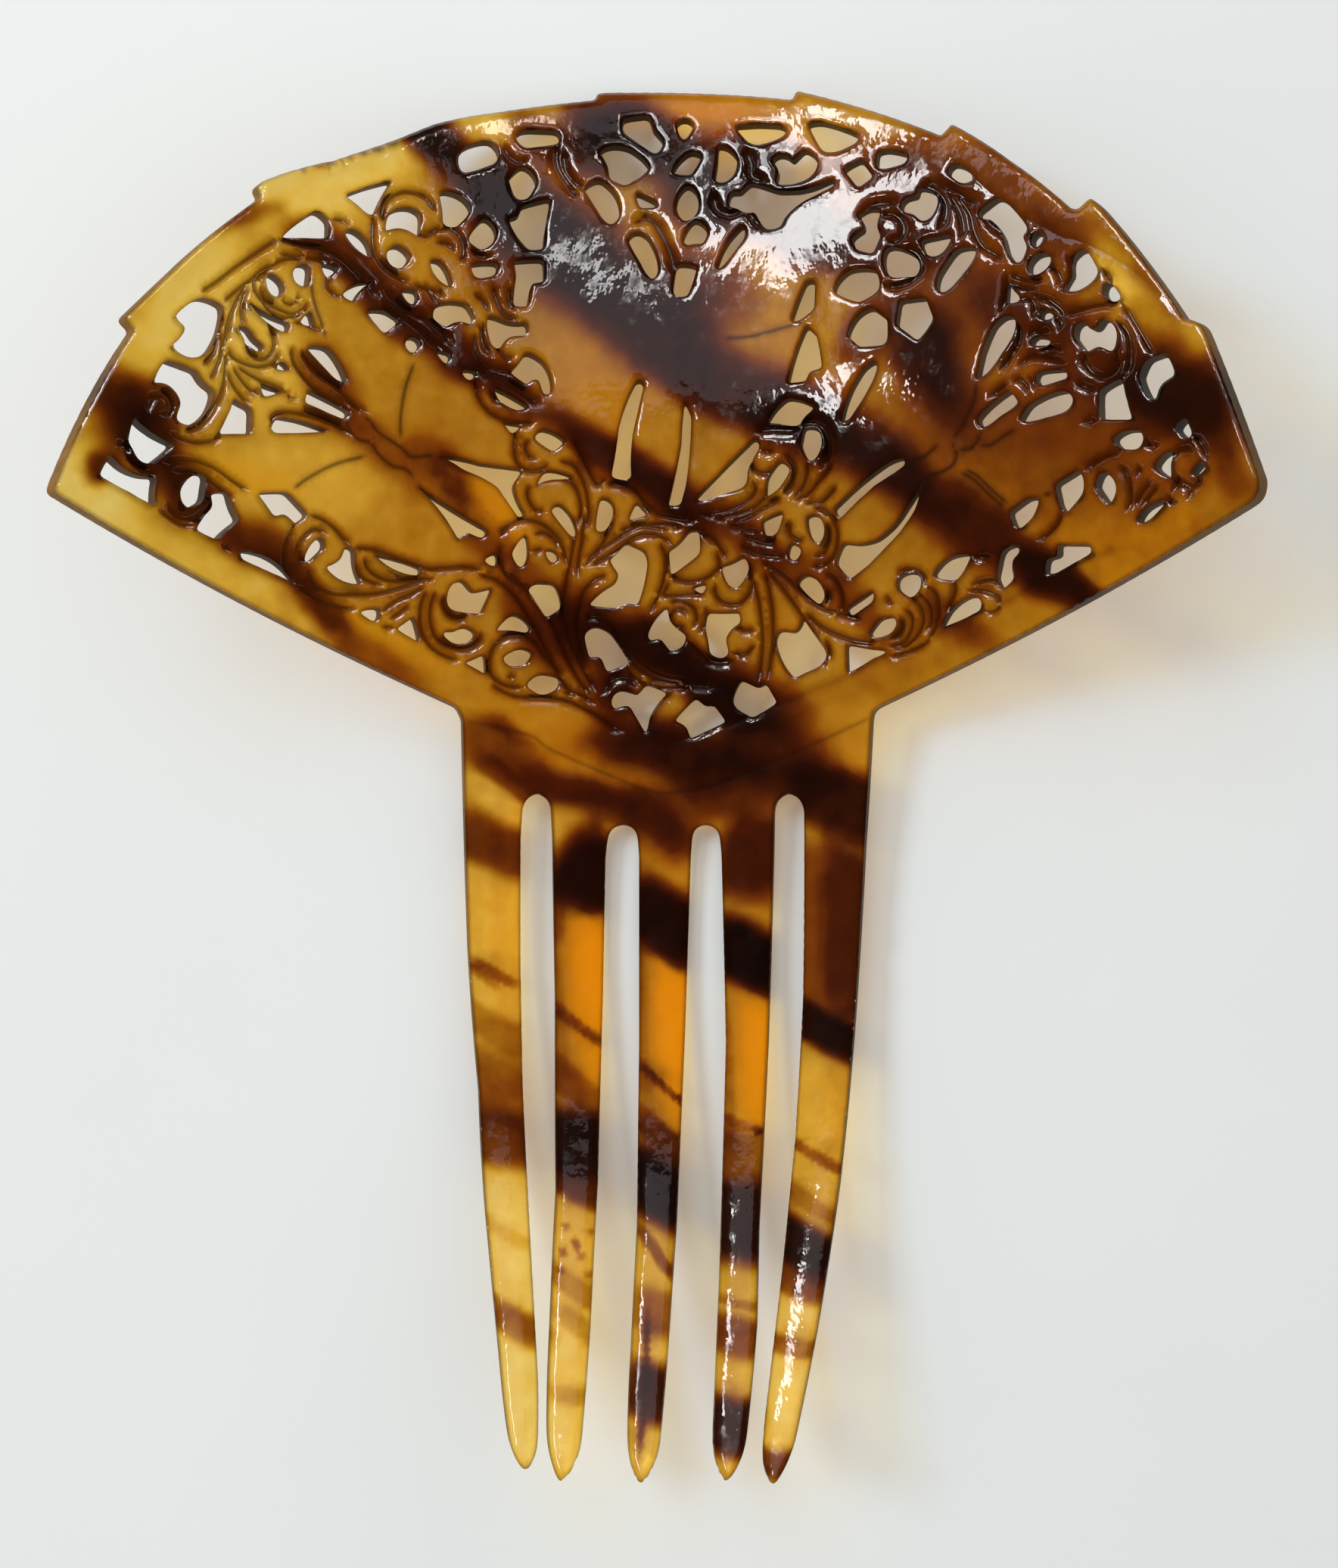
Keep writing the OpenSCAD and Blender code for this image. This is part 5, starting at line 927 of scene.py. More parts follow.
# %% [markdown]
# ## Points for the surface
# A surface needs many points where it is carved and few where it is plain. Rows of staggered points fill the
# sheet, closer together in the fret than on the teeth, and further points run along every edge and groove.
# A point too near to one that is already there is dropped.

# %% Spread points over the sheet
# steps between the points of the fret, of the plain part and of the back
FINE, PLAIN, BACK = 0.66, 0.68, 3.2
FRET_BOTTOM = 2.0
HALF_WIDTH = 96
# rows beside each edge and groove, and the least distance between two points
EDGE_ROWS = (0.22, 0.55)
GROOVE_ROWS = (0.0, 0.2, 0.42)
CLOSEST, CLOSEST_BACK = 0.16, 0.4
# least distance of each kind of row from an edge, and of the fill from the rows beside lines
EDGE_GAP, GROOVE_GAP, FINE_GAP, PLAIN_GAP = 0.18, 0.3, 0.35, 0.45
BACK_GAP, BACK_EDGE_GAP, LINE_GAP = 0.8, 0.4, 0.32


def inside_rows(step, low, high):
    """Staggered points inside the outline and outside the gaps."""
    points = []
    for row, along in enumerate(np.arange(low, high, step * math.sqrt(3) / 2)):
        hit = (loop_points[:, 1] <= along) != (next_points[:, 1] <= along)
        a, b = loop_points[hit], next_points[hit]
        crossings = np.sort(a[:, 0] + (along - a[:, 1]) * (b[:, 0] - a[:, 0]) / (b[:, 1] - a[:, 1]))
        across = np.arange(-HALF_WIDTH, HALF_WIDTH, step) + (row % 2) * step / 2
        inner = across[np.searchsorted(crossings, across) % 2 == 1]
        points.append(np.column_stack((inner, np.full(len(inner), along))))
    return np.vstack(points)


def beside(line, offset, closed):
    """Points at an offset to the left of a line."""
    if closed:
        run = np.roll(line, -1, axis=0) - np.roll(line, 1, axis=0)
    else:
        run = np.gradient(line, axis=0)
    normal = np.column_stack((-run[:, 1], run[:, 0])) / np.maximum(np.hypot(*run.T), 1e-9)[:, None]
    return line + offset * normal


def inside(points):
    """True for each point that lies in the material."""
    order = np.argsort(points[:, 1])
    result = np.zeros(len(points), dtype=bool)
    low = np.minimum(loop_points[:, 1], next_points[:, 1])
    high = np.maximum(loop_points[:, 1], next_points[:, 1])
    for chunk in np.array_split(order, CHUNKS):
        if len(chunk) == 0:
            continue
        y = points[chunk, 1]
        near = (high >= y.min()) & (low <= y.max())
        a, b = loop_points[near], next_points[near]
        hit = (a[None, :, 1] <= y[:, None]) != (b[None, :, 1] <= y[:, None])
        rise_of = np.where(b[:, 1] == a[:, 1], 1.0, b[:, 1] - a[:, 1])
        x = a[None, :, 0] + (y[:, None] - a[None, :, 1]) * ((b[:, 0] - a[:, 0]) / rise_of)[None, :]
        result[chunk] = np.sum(hit & (x < points[chunk, 0][:, None]), axis=1) % 2 == 1
    return result


def thinned(edge_points, groups, closest):
    """The edge points, and of the others each one that isn't closer than that to one kept before it."""
    kept = {(int(x // closest), int(y // closest)): (x, y) for x, y in edge_points}
    result = [tuple(point) for point in edge_points]
    for points in groups:
        for x, y in points:
            cell = (int(x // closest), int(y // closest))
            near = (kept.get((cell[0] + i, cell[1] + j)) for i in (-1, 0, 1) for j in (-1, 0, 1))
            if all(p is None or math.hypot(p[0] - x, p[1] - y) >= closest for p in near):
                kept[cell] = (x, y)
                result.append((x, y))
    return np.array(result)


def off(tree, rows, distance):
    """The points of the rows that are farther than that from a tree's lines."""
    return rows[nearest(tree, rows)[0] > distance]


edge_rows = [beside(loop, side * offset, True) for loop in loops for offset in EDGE_ROWS for side in (-1, 1)]
edge_rows = np.vstack(edge_rows)
edge_rows = off(edge_tree, edge_rows[inside(edge_rows)], EDGE_GAP)
groove_rows = [
    beside(line, side * offset, False)
    for line, *_ in grooves for offset in GROOVE_ROWS for side in ((-1, 1) if offset else (1,))
]
groove_rows = np.vstack(groove_rows)
groove_rows = off(edge_tree, groove_rows[inside(groove_rows)], GROOVE_GAP)
fret_rows = off(edge_tree, inside_rows(FINE, FRET_BOTTOM, TOP_ALONG), FINE_GAP)
plain_rows = off(edge_tree, inside_rows(PLAIN, TIP_ALONG, FRET_BOTTOM), PLAIN_GAP)
fixed = len(loop_points)
front = thinned(loop_points, [edge_rows, groove_rows], CLOSEST)
front = np.vstack((front, off(tree_of(front[fixed:]), np.vstack((fret_rows, plain_rows)), LINE_GAP)))
print("worked side:", len(front), "points, of which", fixed, "on the edges")

# %% [markdown]
# ## Joining the points
# One call of Blender's geometry module joins loose points into well-shaped triangles and keeps every edge that
# it is given, so the gaps stay open and their rims stay smooth. A Boolean of 151 cutters would leave long
# thin triangles, and those shade badly on a polished surface.

# %% Join points into one sheet
# settings of Blender's call: keep what is inside the loops but not in their holes, and join closer points
INSIDE_WITH_HOLES = 2
SAME_POINT = 1e-6


def joined(points):
    """Triangles between the points, with the gaps left open. The first points are the loops'."""
    edges = []
    first = 0
    for loop in loops:
        count = len(loop)
        edges += [(first + i, first + (i + 1) % count) for i in range(count)]
        first += count
    found = geometry.delaunay_2d_cdt([Vector(p) for p in points], edges, [], INSIDE_WITH_HOLES, SAME_POINT)
    verts, triangles = found[0], np.array(found[2])
    places = np.array([tuple(v) for v in verts])
    solid = inside(places[triangles].mean(axis=1))
    origin = np.array([next((o for o in from_points if o < len(points)), -1) for from_points in found[3]])
    return places, triangles[solid], origin


front_places, front_faces, front_origin = joined(front)
back_rows = off(edge_tree, inside_rows(BACK, TIP_ALONG, TOP_ALONG), BACK_GAP)
back = thinned(loop_points, [off(edge_tree, edge_rows, BACK_EDGE_GAP), back_rows], CLOSEST_BACK)
back_places, back_faces, back_origin = joined(back)
print("worked side", len(front_faces), "triangles, back", len(back_faces))

# %% [markdown]
# ## One closed shell
# The worked side and the back are now two sheets of triangles with the same points on their edges. A wall of
# quads between those edges closes the shell. The back's edges are rounded too, only less, as the cutter left
# them.

# %% Build the comb as one mesh
# the back's edges: width and drop of their rounding, and the dirt and painted shade along them
BACK_ROUND, BACK_DROP, BACK_DIRT_AND_SHADE = 0.5, 0.3, 0.7
# faint waves that polishing by hand leaves: height, length each way, and the long bends that keep them uneven
WAVE_HEIGHT = 0.035
WAVE_ACROSS, WAVE_ALONG = 13.0, 16.9
BEND_ACROSS, BEND_ALONG, BEND_PUSH = 7, 9, 1.7

height, dirt_and_shade, shading = worked_side(front_places)
across, along = front_places.T
wave = np.sin(across * 2 * np.pi / WAVE_ACROSS + BEND_PUSH * np.sin(along / BEND_ALONG))
wave = wave * np.cos(along * 2 * np.pi / WAVE_ALONG + np.sin(across / BEND_ACROSS))
height = height - WAVE_HEIGHT * (1 + wave)
to_edge = nearest(edge_tree, back_places)[0]
under = rounding(to_edge, BACK_ROUND, BACK_DROP)
front_points = bend(across, along, height)
back_points = bend(*back_places.T, under)

front_of = {o: i for i, o in enumerate(front_origin) if 0 <= o < fixed}
back_of = {o: i + len(front_points) for i, o in enumerate(back_origin) if 0 <= o < fixed}
faces = [tuple(f) for f in front_faces] + [tuple(len(front_points) + v for v in f[::-1]) for f in back_faces]
first_wall = len(faces)
first = 0
for loop in loops:
    count = len(loop)
    for i in range(count):
        a, b = first + i, first + (i + 1) % count
        if a in front_of and b in front_of and a in back_of and b in back_of:
            faces.append((front_of[a], front_of[b], back_of[b], back_of[a]))
    first += count

mesh = bpy.data.meshes.new("celluloid_comb")
mesh.from_pydata(np.vstack((front_points, back_points)).tolist(), [], faces)
comb = bpy.data.objects.new("celluloid_comb", mesh)
bpy.context.scene.collection.objects.link(comb)
bpy.context.view_layer.objects.active = comb
comb.select_set(True)
bpy.ops.object.mode_set(mode="EDIT")
bpy.ops.mesh.select_all(action="SELECT")
bpy.ops.mesh.normals_make_consistent(inside=False)
bpy.ops.object.mode_set(mode="OBJECT")
bpy.ops.object.shade_smooth()
comb.select_set(False)


def add_layer(name, values):
    """One value for each point of the mesh, for the material to read."""
    layer = mesh.attributes.new(name, "FLOAT", "POINT")
    layer.data.foreach_set("value", values.astype(np.float32))


sheet_place = np.vstack((
    np.column_stack((front_places, height)),
    np.column_stack((back_places, under)),
))
place_layer = mesh.attributes.new("sheet_place", "FLOAT_VECTOR", "POINT")
place_layer.data.foreach_set("vector", sheet_place.astype(np.float32).ravel())
# dirt and painted shade in the cuts and along the rims, the back's rims included
add_layer("dirt_and_shade", np.concatenate((dirt_and_shade, BACK_DIRT_AND_SHADE * near_share(to_edge, RIM_REACH))))
mesh.polygons.foreach_set("material_index", (np.arange(len(faces)) >= first_wall).astype(np.int32))
shell = bmesh.new()
shell.from_mesh(mesh)
for edge in shell.edges:
    edge.smooth = len({face.index >= first_wall for face in edge.link_faces}) == 1
shell.to_mesh(mesh)
open_edges = sum(1 for e in shell.edges if len(e.link_faces) != 2)
triangles = sum(len(f.verts) - 2 for f in shell.faces)
print("shell:", triangles, "triangles,", open_edges, "open edges,", round(shell.calc_volume() * 1e6, 1), "cm3")
shell.free()

# %% [markdown]
# ## Colours and nodes
# Colours are picked as the hex values that a screen shows. Blender's nodes want linear light, so one function
# turns them. One more adds a node with its settings and its links, so that a material reads as a list.

# %% Helpers for materials
def linear(code):
    parts = [int(code[i:i + 2], 16) / 255 for i in (1, 3, 5)]
    return tuple(p / 12.92 if p <= 0.04045 else ((p + 0.055) / 1.055) ** 2.4 for p in parts) + (1.0,)


def add_node(tree, kind, inputs=None, **settings):
    node = tree.nodes.new(kind)
    for name, value in settings.items():
        setattr(node, name, value)
    for name, value in (inputs or {}).items():
        if isinstance(value, bpy.types.NodeSocket):
            tree.links.new(value, node.inputs[name])
        else:
            node.inputs[name].default_value = value
    return node


def new_material(name):
    material = bpy.data.materials.new(name)
    material.use_nodes = True
    material.node_tree.nodes.clear()
    return material, material.node_tree


def mesh_layer(tree, name, socket="Fac"):
    return add_node(tree, "ShaderNodeAttribute", attribute_name=name).outputs[socket]


def mixed(tree, share, first, second):
    """Two colours mixed, with the second's share from 0 to 1."""
    return add_node(tree, "ShaderNodeMix", {0: share, 6: first, 7: second}, data_type="RGBA").outputs[2]


def let_light_through(tree, surface, shade):
    """The camera sees the surface, and the lamps' light passes it with a shade."""
    through = add_node(tree, "ShaderNodeBsdfTransparent", {"Color": shade}).outputs[0]
    ray = add_node(tree, "ShaderNodeLightPath").outputs["Is Shadow Ray"]
    whole = add_node(tree, "ShaderNodeMixShader", {0: ray, 1: surface, 2: through}).outputs[0]
    add_node(tree, "ShaderNodeOutputMaterial", {"Surface": whole})


# %% [markdown]
# ## Where the colour lies
# Imitation tortoiseshell is made by kneading dark celluloid into clear amber, slicing the block and pressing
# the slices into sheet. The dark parts are therefore soft-edged streaks that run right through, here mostly
# from the upper left to the lower right. The mesh is dense, so each point of it can hold how much dye lies
# there, with the painted shade of the hollows and the gap edges laid over it, and the material only turns that
# into colour. That renders much faster than 130 shapes in nodes. A few of the streaks are painted light and
# painted shade rather than dye, each marked in its table.
# Columns: across, along, half length, half width, turn in degrees, dye from 0 to 1.

# %% Tables of the streaks
fan_streaks_and_shade = [
    # left corner and lower left border
    (-84, 50, 7, 4.5, -35, 0.75), (-79.5, 45.5, 6, 3.4, -45, 0.8), (-72, 39.5, 6, 3.4, -38, 0.7),
    (-63, 31, 7, 3.2, -42, 0.6), (-53, 22.4, 8, 2.6, -36, 0.6), (-58.5, 26.6, 5, 2.2, -36, 0.36),
    (-86.5, 42.5, 2.6, 2.4, 0, 0.7), (-44, 15.5, 10, 2.2, -28, 0.42), (-24.5, 6.2, 4, 1.4, -25, 0.4),
    (-7, 11, 4, 4, -40, 0.7), (-64.5, 75.8, 5.5, 1.9, 26, 0.5), (-18, 20, 6, 3, -50, 0.45),
    (-42.5, 90.9, 7.5, 1.2, 26, 0.85), (-50.5, 87.2, 3.5, 0.6, 24, 0.6),
    # band over and under the left butterfly
    (-51, 72.5, 7, 3.4, -20, 0.65), (-43, 66, 8, 3.2, -42, 0.68), (-33, 60, 8, 3.2, -42, 0.7),
    (-24, 53.5, 7, 3.0, -40, 0.6), (-9, 45.8, 10, 3.0, -32, 0.75), (2.2, 39.8, 7, 3.0, -34, 0.75),
    (13, 35, 9, 3.0, -40, 0.45), (-52, 54, 8, 3.4, -50, 0.34), (-43, 45, 8, 3, -40, 0.3),
    (-33, 42, 8, 2.4, -40, 0.5), (-28, 73, 9, 4, -30, 0.3),
    # top
    (-37, 90.2, 5, 4.0, -30, 0.95), (-26.5, 83, 9.5, 6.2, -33, 0.98), (-14.5, 75, 11, 7.0, -36, 0.9),
    (-5, 93, 8, 6.5, -20, 0.97), (6, 84, 9, 6.5, -50, 0.92), (17, 87, 10, 5, -30, 0.85),
    (23, 77, 11, 5, -10, 0.8), (-16, 91, 8, 4, -20, 0.6), (10, 98, 12, 2.2, -4, 0.15),
    (38, 82, 12, 6.5, -35, 0.6), (43, 69, 13, 7, -35, 0.38), (4, 69, 10, 5, -15, 0.5),
    (33, 62, 4, 6, -20, 0.45),
    # band across the middle butterfly to the right foot
    (-0.5, 64, 12, 5.5, -29, 0.78), (15, 55, 12, 4.8, -28, 0.72), (25, 50, 8, 4.6, -25, 0.85),
    (36.5, 42.5, 9, 4.4, -34, 0.8), (49, 34.8, 9, 4.2, -36, 0.66), (59, 28, 6, 4.0, -45, 0.88),
    (65, 23, 5, 2.6, -30, 0.75),
    # right; the broad faint oval at (58, 42) is partly dye and partly painted shade, where the right wing lies in its
    # own shadow
    (43.5, 58, 10, 5.0, -55, 0.8), (57, 64, 8, 4.5, -35, 0.5), (54, 79, 16, 6, -40, 0.45),
    (68, 57, 9, 6, -35, 0.5), (62, 45, 20, 9, -10, 0.30), (58, 42, 28, 18, -20, 0.15),
    (82, 51, 11, 6.5, -38, 0.88), (73, 72, 12, 2.0, -43, 0.22), (78, 62, 6, 2.6, -40, 0.3),
    (63, 76.5, 5, 2.2, -35, 0.4), (80, 33, 14, 5, 24, 0.22), (46, 20, 7, 2.4, -35, 0.4),
    (90, 39, 5, 2.2, -60, 0.35),
    # foot of the fret and tooth plate
    (-11, 21, 7, 4.2, -60, 0.7), (0, 18, 9, 3.8, -20, 0.85), (13, 11, 10, 4.2, -28, 0.88),
    (18, 2.5, 9, 4.6, -20, 0.6), (2, 2.5, 14, 4.2, -8, 0.75), (14, -3, 14, 3.4, 4, 0.45),
    (-14, -2.5, 9, 2.0, -22, 0.5), (-3, -6.5, 11, 3.4, -16, 0.5), (-25, 3, 9, 3.4, -22, 0.42),
    (40, 16, 16, 3.5, 22, 0.12), (26, 26, 12, 3, -38, 0.35), (-22, 30, 12, 3, -40, 0.35),
]
# the narrow upright bars at the left edges of the second to fifth tooth, of strength 0.22 to 0.35, are painted shade:
# the darker side that the rounded clear teeth show
tooth_streaks_and_side_shade = [
    # first tooth
    (-23, -1.5, 6, 1.6, -32, 0.45), (-25, -11, 7, 3.8, -22, 0.55), (-24.4, -30, 4, 0.9, -30, 0.5),
    (-26, -30.6, 3, 0.6, -38, 0.35), (-25, -38.5, 7, 2.4, -32, 0.30), (-24.5, -47, 7, 4.4, -26, 0.38),
    (-24.3, -54.5, 7, 4.0, -8, 0.55), (-23.5, -67.5, 5, 1.0, -30, 0.13), (-22.8, -79.8, 6, 2.0, -33, 0.45),
    # second tooth
    (-10.5, -15.4, 5.4, 5.8, -28, 0.82), (-15.2, -21, 1.6, 5, 0, 0.3), (-15.6, -34, 1.3, 12, 2, 0.22),
    (-12, -38.8, 5, 1.0, -42, 0.5), (-13, -47.5, 6, 2.2, -40, 0.35), (-12.6, -55.3, 7, 4.4, -17, 0.93),
    (-12.8, -61.3, 7, 2.3, -30, 0.6), (-12.9, -76.4, 6, 1.5, -38, 0.32), (-12.6, -81.6, 5, 1.4, -42, 0.25),
    (-13.6, -89.6, 4, 1.1, -6, 0.25), (-9.6, -12, 1.0, 5, 0, 0.3),
    # third tooth
    (-0.5, -9, 6, 3.5, -30, 0.3), (1, -22.6, 7, 5.0, -32, 0.86), (-3.2, -37, 1.2, 13, 3, 0.22),
    (0.4, -46.7, 5, 0.75, -36, 0.55), (0.4, -54.2, 6, 2.0, -34, 0.55), (0.2, -61.9, 7, 4.7, -28, 1.0),
    (0, -71.3, 5, 0.9, -50, 0.55), (-0.3, -79.3, 4, 3.0, -14, 0.38), (-0.8, -89.6, 5, 3.6, -14, 0.8),
    (-2.6, -88, 0.6, 9, -4, 0.7),
    # fourth tooth
    (14.5, -13, 5, 6.5, -20, 0.62), (9.9, -44, 1.2, 12, 3, 0.22), (13.5, -27.8, 7, 4.2, -30, 0.95),
    (13.2, -52.3, 4, 0.7, -18, 0.4), (13, -56.5, 6, 3.4, -10, 0.42), (12.8, -66, 7, 5.8, -6, 0.9),
    (12.5, -77.4, 5, 0.7, -10, 0.35), (12.6, -81.8, 5, 2.6, -10, 0.5), (12.2, -93.2, 5, 4.0, -8, 0.85),
    # fifth tooth
    (28, -5, 8, 5, -18, 0.72), (28.6, -24, 3.6, 14, 3, 0.62), (23.2, -24, 1.8, 13, 2, 0.35),
    (26, -38.3, 7, 2.9, -28, 0.92), (24.4, -56.4, 6, 0.8, -24, 0.42), (23.6, -62.6, 6, 1.3, -30, 0.28),
    (22.9, -69.3, 7, 3.4, -26, 0.92), (22.4, -74.8, 5, 1.9, -20, 0.5), (21.8, -83, 5, 1.3, -8, 0.45),
    (20.2, -97.6, 5, 1.9, -6, 0.6),
    # specks and small spots
    (-14.6, -67, 0.7, 0.5, 0, 0.4), (-13.3, -69.8, 0.6, 1.0, 20, 0.5), (-12.4, -71.6, 0.7, 0.5, 0, 0.4),
    (-15.3, -70.6, 0.6, 0.7, 0, 0.5), (-11.2, -74.6, 0.6, 0.5, 0, 0.45), (-15.6, -73.4, 0.6, 0.6, 0, 0.4),
    (14.8, -53.4, 0.6, 0.5, 0, 0.5), (21.8, -74.8, 0.7, 0.5, 0, 0.8), (-11, -68.2, 0.5, 0.5, 0, 0.4),
]
# the pale ovals at the left corner and along the left border are partly clear amber and partly painted light: the
# glow of the lit table under that raised part
pale_streaks_and_light = [
    (-52, 84, 16, 6, 25, 0.9), (-74, 66, 16, 5, 45, 0.8), (-66, 60, 10, 9, 0, 0.75),
    (-55, 41.5, 12, 7, -20, 0.5), (-88, 38, 9, 6, -25, 0.95), (-72, 28, 14, 3.4, -25, 0.6),
    (-50, 18, 16, 2.6, -25, 0.45), (-25, -24, 7, 26, 0, 0.6), (-23, -80, 7, 26, 0, 0.95),
    (-14, -84, 7, 20, 0, 0.75), (-2, -88, 6, 20, 0, 0.6), (12, -80, 6, 18, 0, 0.35), (22, -52, 7, 13, 0, 0.4),
    (20, -86, 7, 14, 0, 0.85), (-30, 93, 7, 3.4, 10, 0.6), (72, 68.5, 16, 2.4, -43, 0.8),
    (84, 58, 3, 3, 0, 0.5), (84, 34.5, 8, 2.0, 24, 0.25), (-26, -3, 6, 3, -35, 0.5), (-15, -7, 3, 3, 0, 0.5),
    (-25, 92.5, 6, 3, 10, 0.5), (23, -9.5, 2, 1.4, -30, 0.5),
]
# the three long upright bars on the right halves of the second, third and fourth tooth are painted light: the
# brighter side of the rounded clear teeth. The others are orange in the sheet.
orange_streaks_and_tooth_light = [
    (-10.2, -34, 3.1, 16, 2, 1.0), (2, -38, 3.2, 15, 2, 1.0), (14.8, -44, 3.2, 13, 2, 1.0),
    (-12, 3, 16, 5, -25, 0.2), (-28, 39, 10, 3, -35, 0.8), (60, 38, 16, 6, -20, 0.35),
    (-64, 41, 7, 2.4, -15, 0.5), (14, -60, 3, 8, 0, 0.3), (10, 98, 10, 2, -4, 0.6), (-8, 58, 10, 8, -30, 0.25),
    (72, 29, 14, 4, 24, 0.5), (-45, 20, 14, 2, -25, 0.4), (1, -10, 3, 3, 0, 0.6), (30, -14, 1.4, 16, 3, 0.5),
]
print(len(fan_streaks_and_shade) + len(tooth_streaks_and_side_shade), "dark streaks")

# %% Dye at each point of the mesh
CLEAR_DYE, PALE_DYE = 0.255, 0.03
FAN_SOFTNESS, TOOTH_SOFTNESS, PALE_SOFTNESS, ORANGE_SOFTNESS = 0.55, 0.36, 0.4, 0.45
OVAL, BAR = 2, 4
SLIGHT = 0.35
DRIFT = ((17.0, 3.4), (5.0, 0.9))
# Blender starts this noise from the clock unless it is told where, and the streaks must lie the same each run
DRIFT_START = 1795724202


def drifted(points):
    """Places pushed about by smooth noise, a long wave and a short one, in millimetres."""
    noise.seed_set(DRIFT_START)
    moved = points.copy()
    for length, push in DRIFT:
        moved += push * np.array([noise.noise_vector((x / length, y / length, length))[:2] for x, y in points])
    return moved


def streak_field(points, table, softness, shape=OVAL):
    """Streaks laid over each other, from 0 to 1. Each has a soft edge and is an oval or a bar."""
    left = np.ones(len(points))
    for across, along, half_length, half_width, turn, strength in table:
        c, s = math.cos(math.radians(turn)), math.sin(math.radians(turn))
        x, y = points[:, 0] - across, points[:, 1] - along
        lengthwise = np.abs(c * x + s * y) / half_length
        sideways = np.abs(c * y - s * x) / half_width
        away = (lengthwise ** shape + sideways ** shape) ** (1 / shape)
        share = np.clip((1 + softness - away) / (2 * softness), 0, 1)
        left = left * (1 - strength * share * share * (3 - 2 * share))
    return 1 - left


flat_places = np.vstack((front_places, back_places))
moved = drifted(flat_places)
slightly = SLIGHT * moved + (1 - SLIGHT) * flat_places
dye_and_shade = CLEAR_DYE * (1 - streak_field(moved, pale_streaks_and_light, PALE_SOFTNESS)) + PALE_DYE
dye_and_shade = over(dye_and_shade, streak_field(moved, fan_streaks_and_shade, FAN_SOFTNESS))
dye_and_shade = over(dye_and_shade, streak_field(slightly, tooth_streaks_and_side_shade, TOOTH_SOFTNESS, BAR))
# painted shade of the hollows and the gap edges is laid over the dye of the worked side
dye_and_shade[:len(shading)] = over(dye_and_shade[:len(shading)], shading)
add_layer("dye_and_shade", dye_and_shade)
# orange in the sheet, with painted light on the right halves of three teeth
add_layer("orange_and_tooth_light", streak_field(slightly, orange_streaks_and_tooth_light, ORANGE_SOFTNESS))
print("dye from", round(float(dye_and_shade.min()), 2), "to", round(float(dye_and_shade.max()), 2), "mean", round(float(dye_and_shade.mean()), 2))

# %% [markdown]
# ## Moulded tortoiseshell celluloid
# Celluloid is cellulose nitrate and camphor, pressed and polished. It bends light a little more than window
# glass, and it lets light through, so the thin sheet glows over a pale table and its shadow is amber too.
# Old polish is uneven: clear in places, hazed by fine scratches in others. A coat with a rough lobe gives the
# haze, the base lobe gives the sharp window, and lamps reach the table through the sheet with its tint.

# %% Material of the comb
CELLULOID_IOR = 1.5
CLEARNESS = 0.8
SHARP_POLISH, DULL_POLISH = 0.035, 0.2
HAZE, HAZE_ROUGHNESS = 0.08, 0.42
MOTTLE = 0.05
DIRT_AND_SHADE_STRENGTH = 0.92
# values of the noises between which the clouds change and the polish goes dull
CLOUD_LOW, CLOUD_HIGH = 0.3, 0.7
DULL_START, DULL_FULL = 0.49, 0.65
# dye that hides the orange, and dye that leaves all of it
ORANGE_GONE, ORANGE_FULL = 0.65, 0.4
# scales per millimetre: clouds in the dye, dull patches of the polish, ripples of the surface
CLOUD_SCALE, PATCH_SCALE, RIPPLE_SCALE = 0.3, 0.4, 0.34
RIPPLE_STRETCH = (1.0, 0.75, 1.0)
RIPPLE_STRENGTH, RIPPLE_DISTANCE = 0.2, 0.0006
# how thin the sheet is for a lamp's light, and how much plain pale amber is mixed into its shadow
SHADOW_THINNESS, SHADOW_PALE = 0.25, 0.44
ORANGE_CODE, DIRT_AND_SHADE_CODE, PALE_AMBER = "#F2AC0A", "#2E1704", "#FFF1C4"
DYE_COLOURS = [
    # dye, colour
    (0.0, "#FFE07A"), (0.12, "#F5C646"), (0.33, "#C8901A"), (0.5, "#9C5307"), (0.68, "#682B03"),
    (0.85, "#3C1604"), (1.0, "#1F0D06"),
]

celluloid, tree = new_material("moulded_tortoiseshell_celluloid")
place = mesh_layer(tree, "sheet_place", "Vector")
cuts = mesh_layer(tree, "dirt_and_shade")
stain_and_shade = mesh_layer(tree, "dye_and_shade")
orange_and_tooth_light_share = mesh_layer(tree, "orange_and_tooth_light")
clouds = add_node(tree, "ShaderNodeTexNoise", {"Vector": place, "Scale": CLOUD_SCALE, "Detail": 4.0}).outputs["Fac"]
mottle = add_node(tree, "ShaderNodeMapRange", {"Value": clouds, "From Min": CLOUD_LOW, "From Max": CLOUD_HIGH,
                                               "To Min": -MOTTLE, "To Max": MOTTLE}).outputs[0]
total = add_node(tree, "ShaderNodeMath", {0: stain_and_shade, 1: mottle}, operation="ADD", use_clamp=True).outputs[0]
ramp = add_node(tree, "ShaderNodeValToRGB", {"Fac": total})
for i, (dye_at, code) in enumerate(DYE_COLOURS):
    stop = ramp.color_ramp.elements[i] if i < 2 else ramp.color_ramp.elements.new(dye_at)
    stop.position = dye_at
    stop.color = linear(code)
undyed = add_node(tree, "ShaderNodeMapRange", {"Value": total, "From Min": ORANGE_GONE,
                                               "From Max": ORANGE_FULL}).outputs[0]
warmth = add_node(tree, "ShaderNodeMath", {0: orange_and_tooth_light_share, 1: undyed}, operation="MULTIPLY").outputs[0]
body = mixed(tree, warmth, ramp.outputs["Color"], linear(ORANGE_CODE))
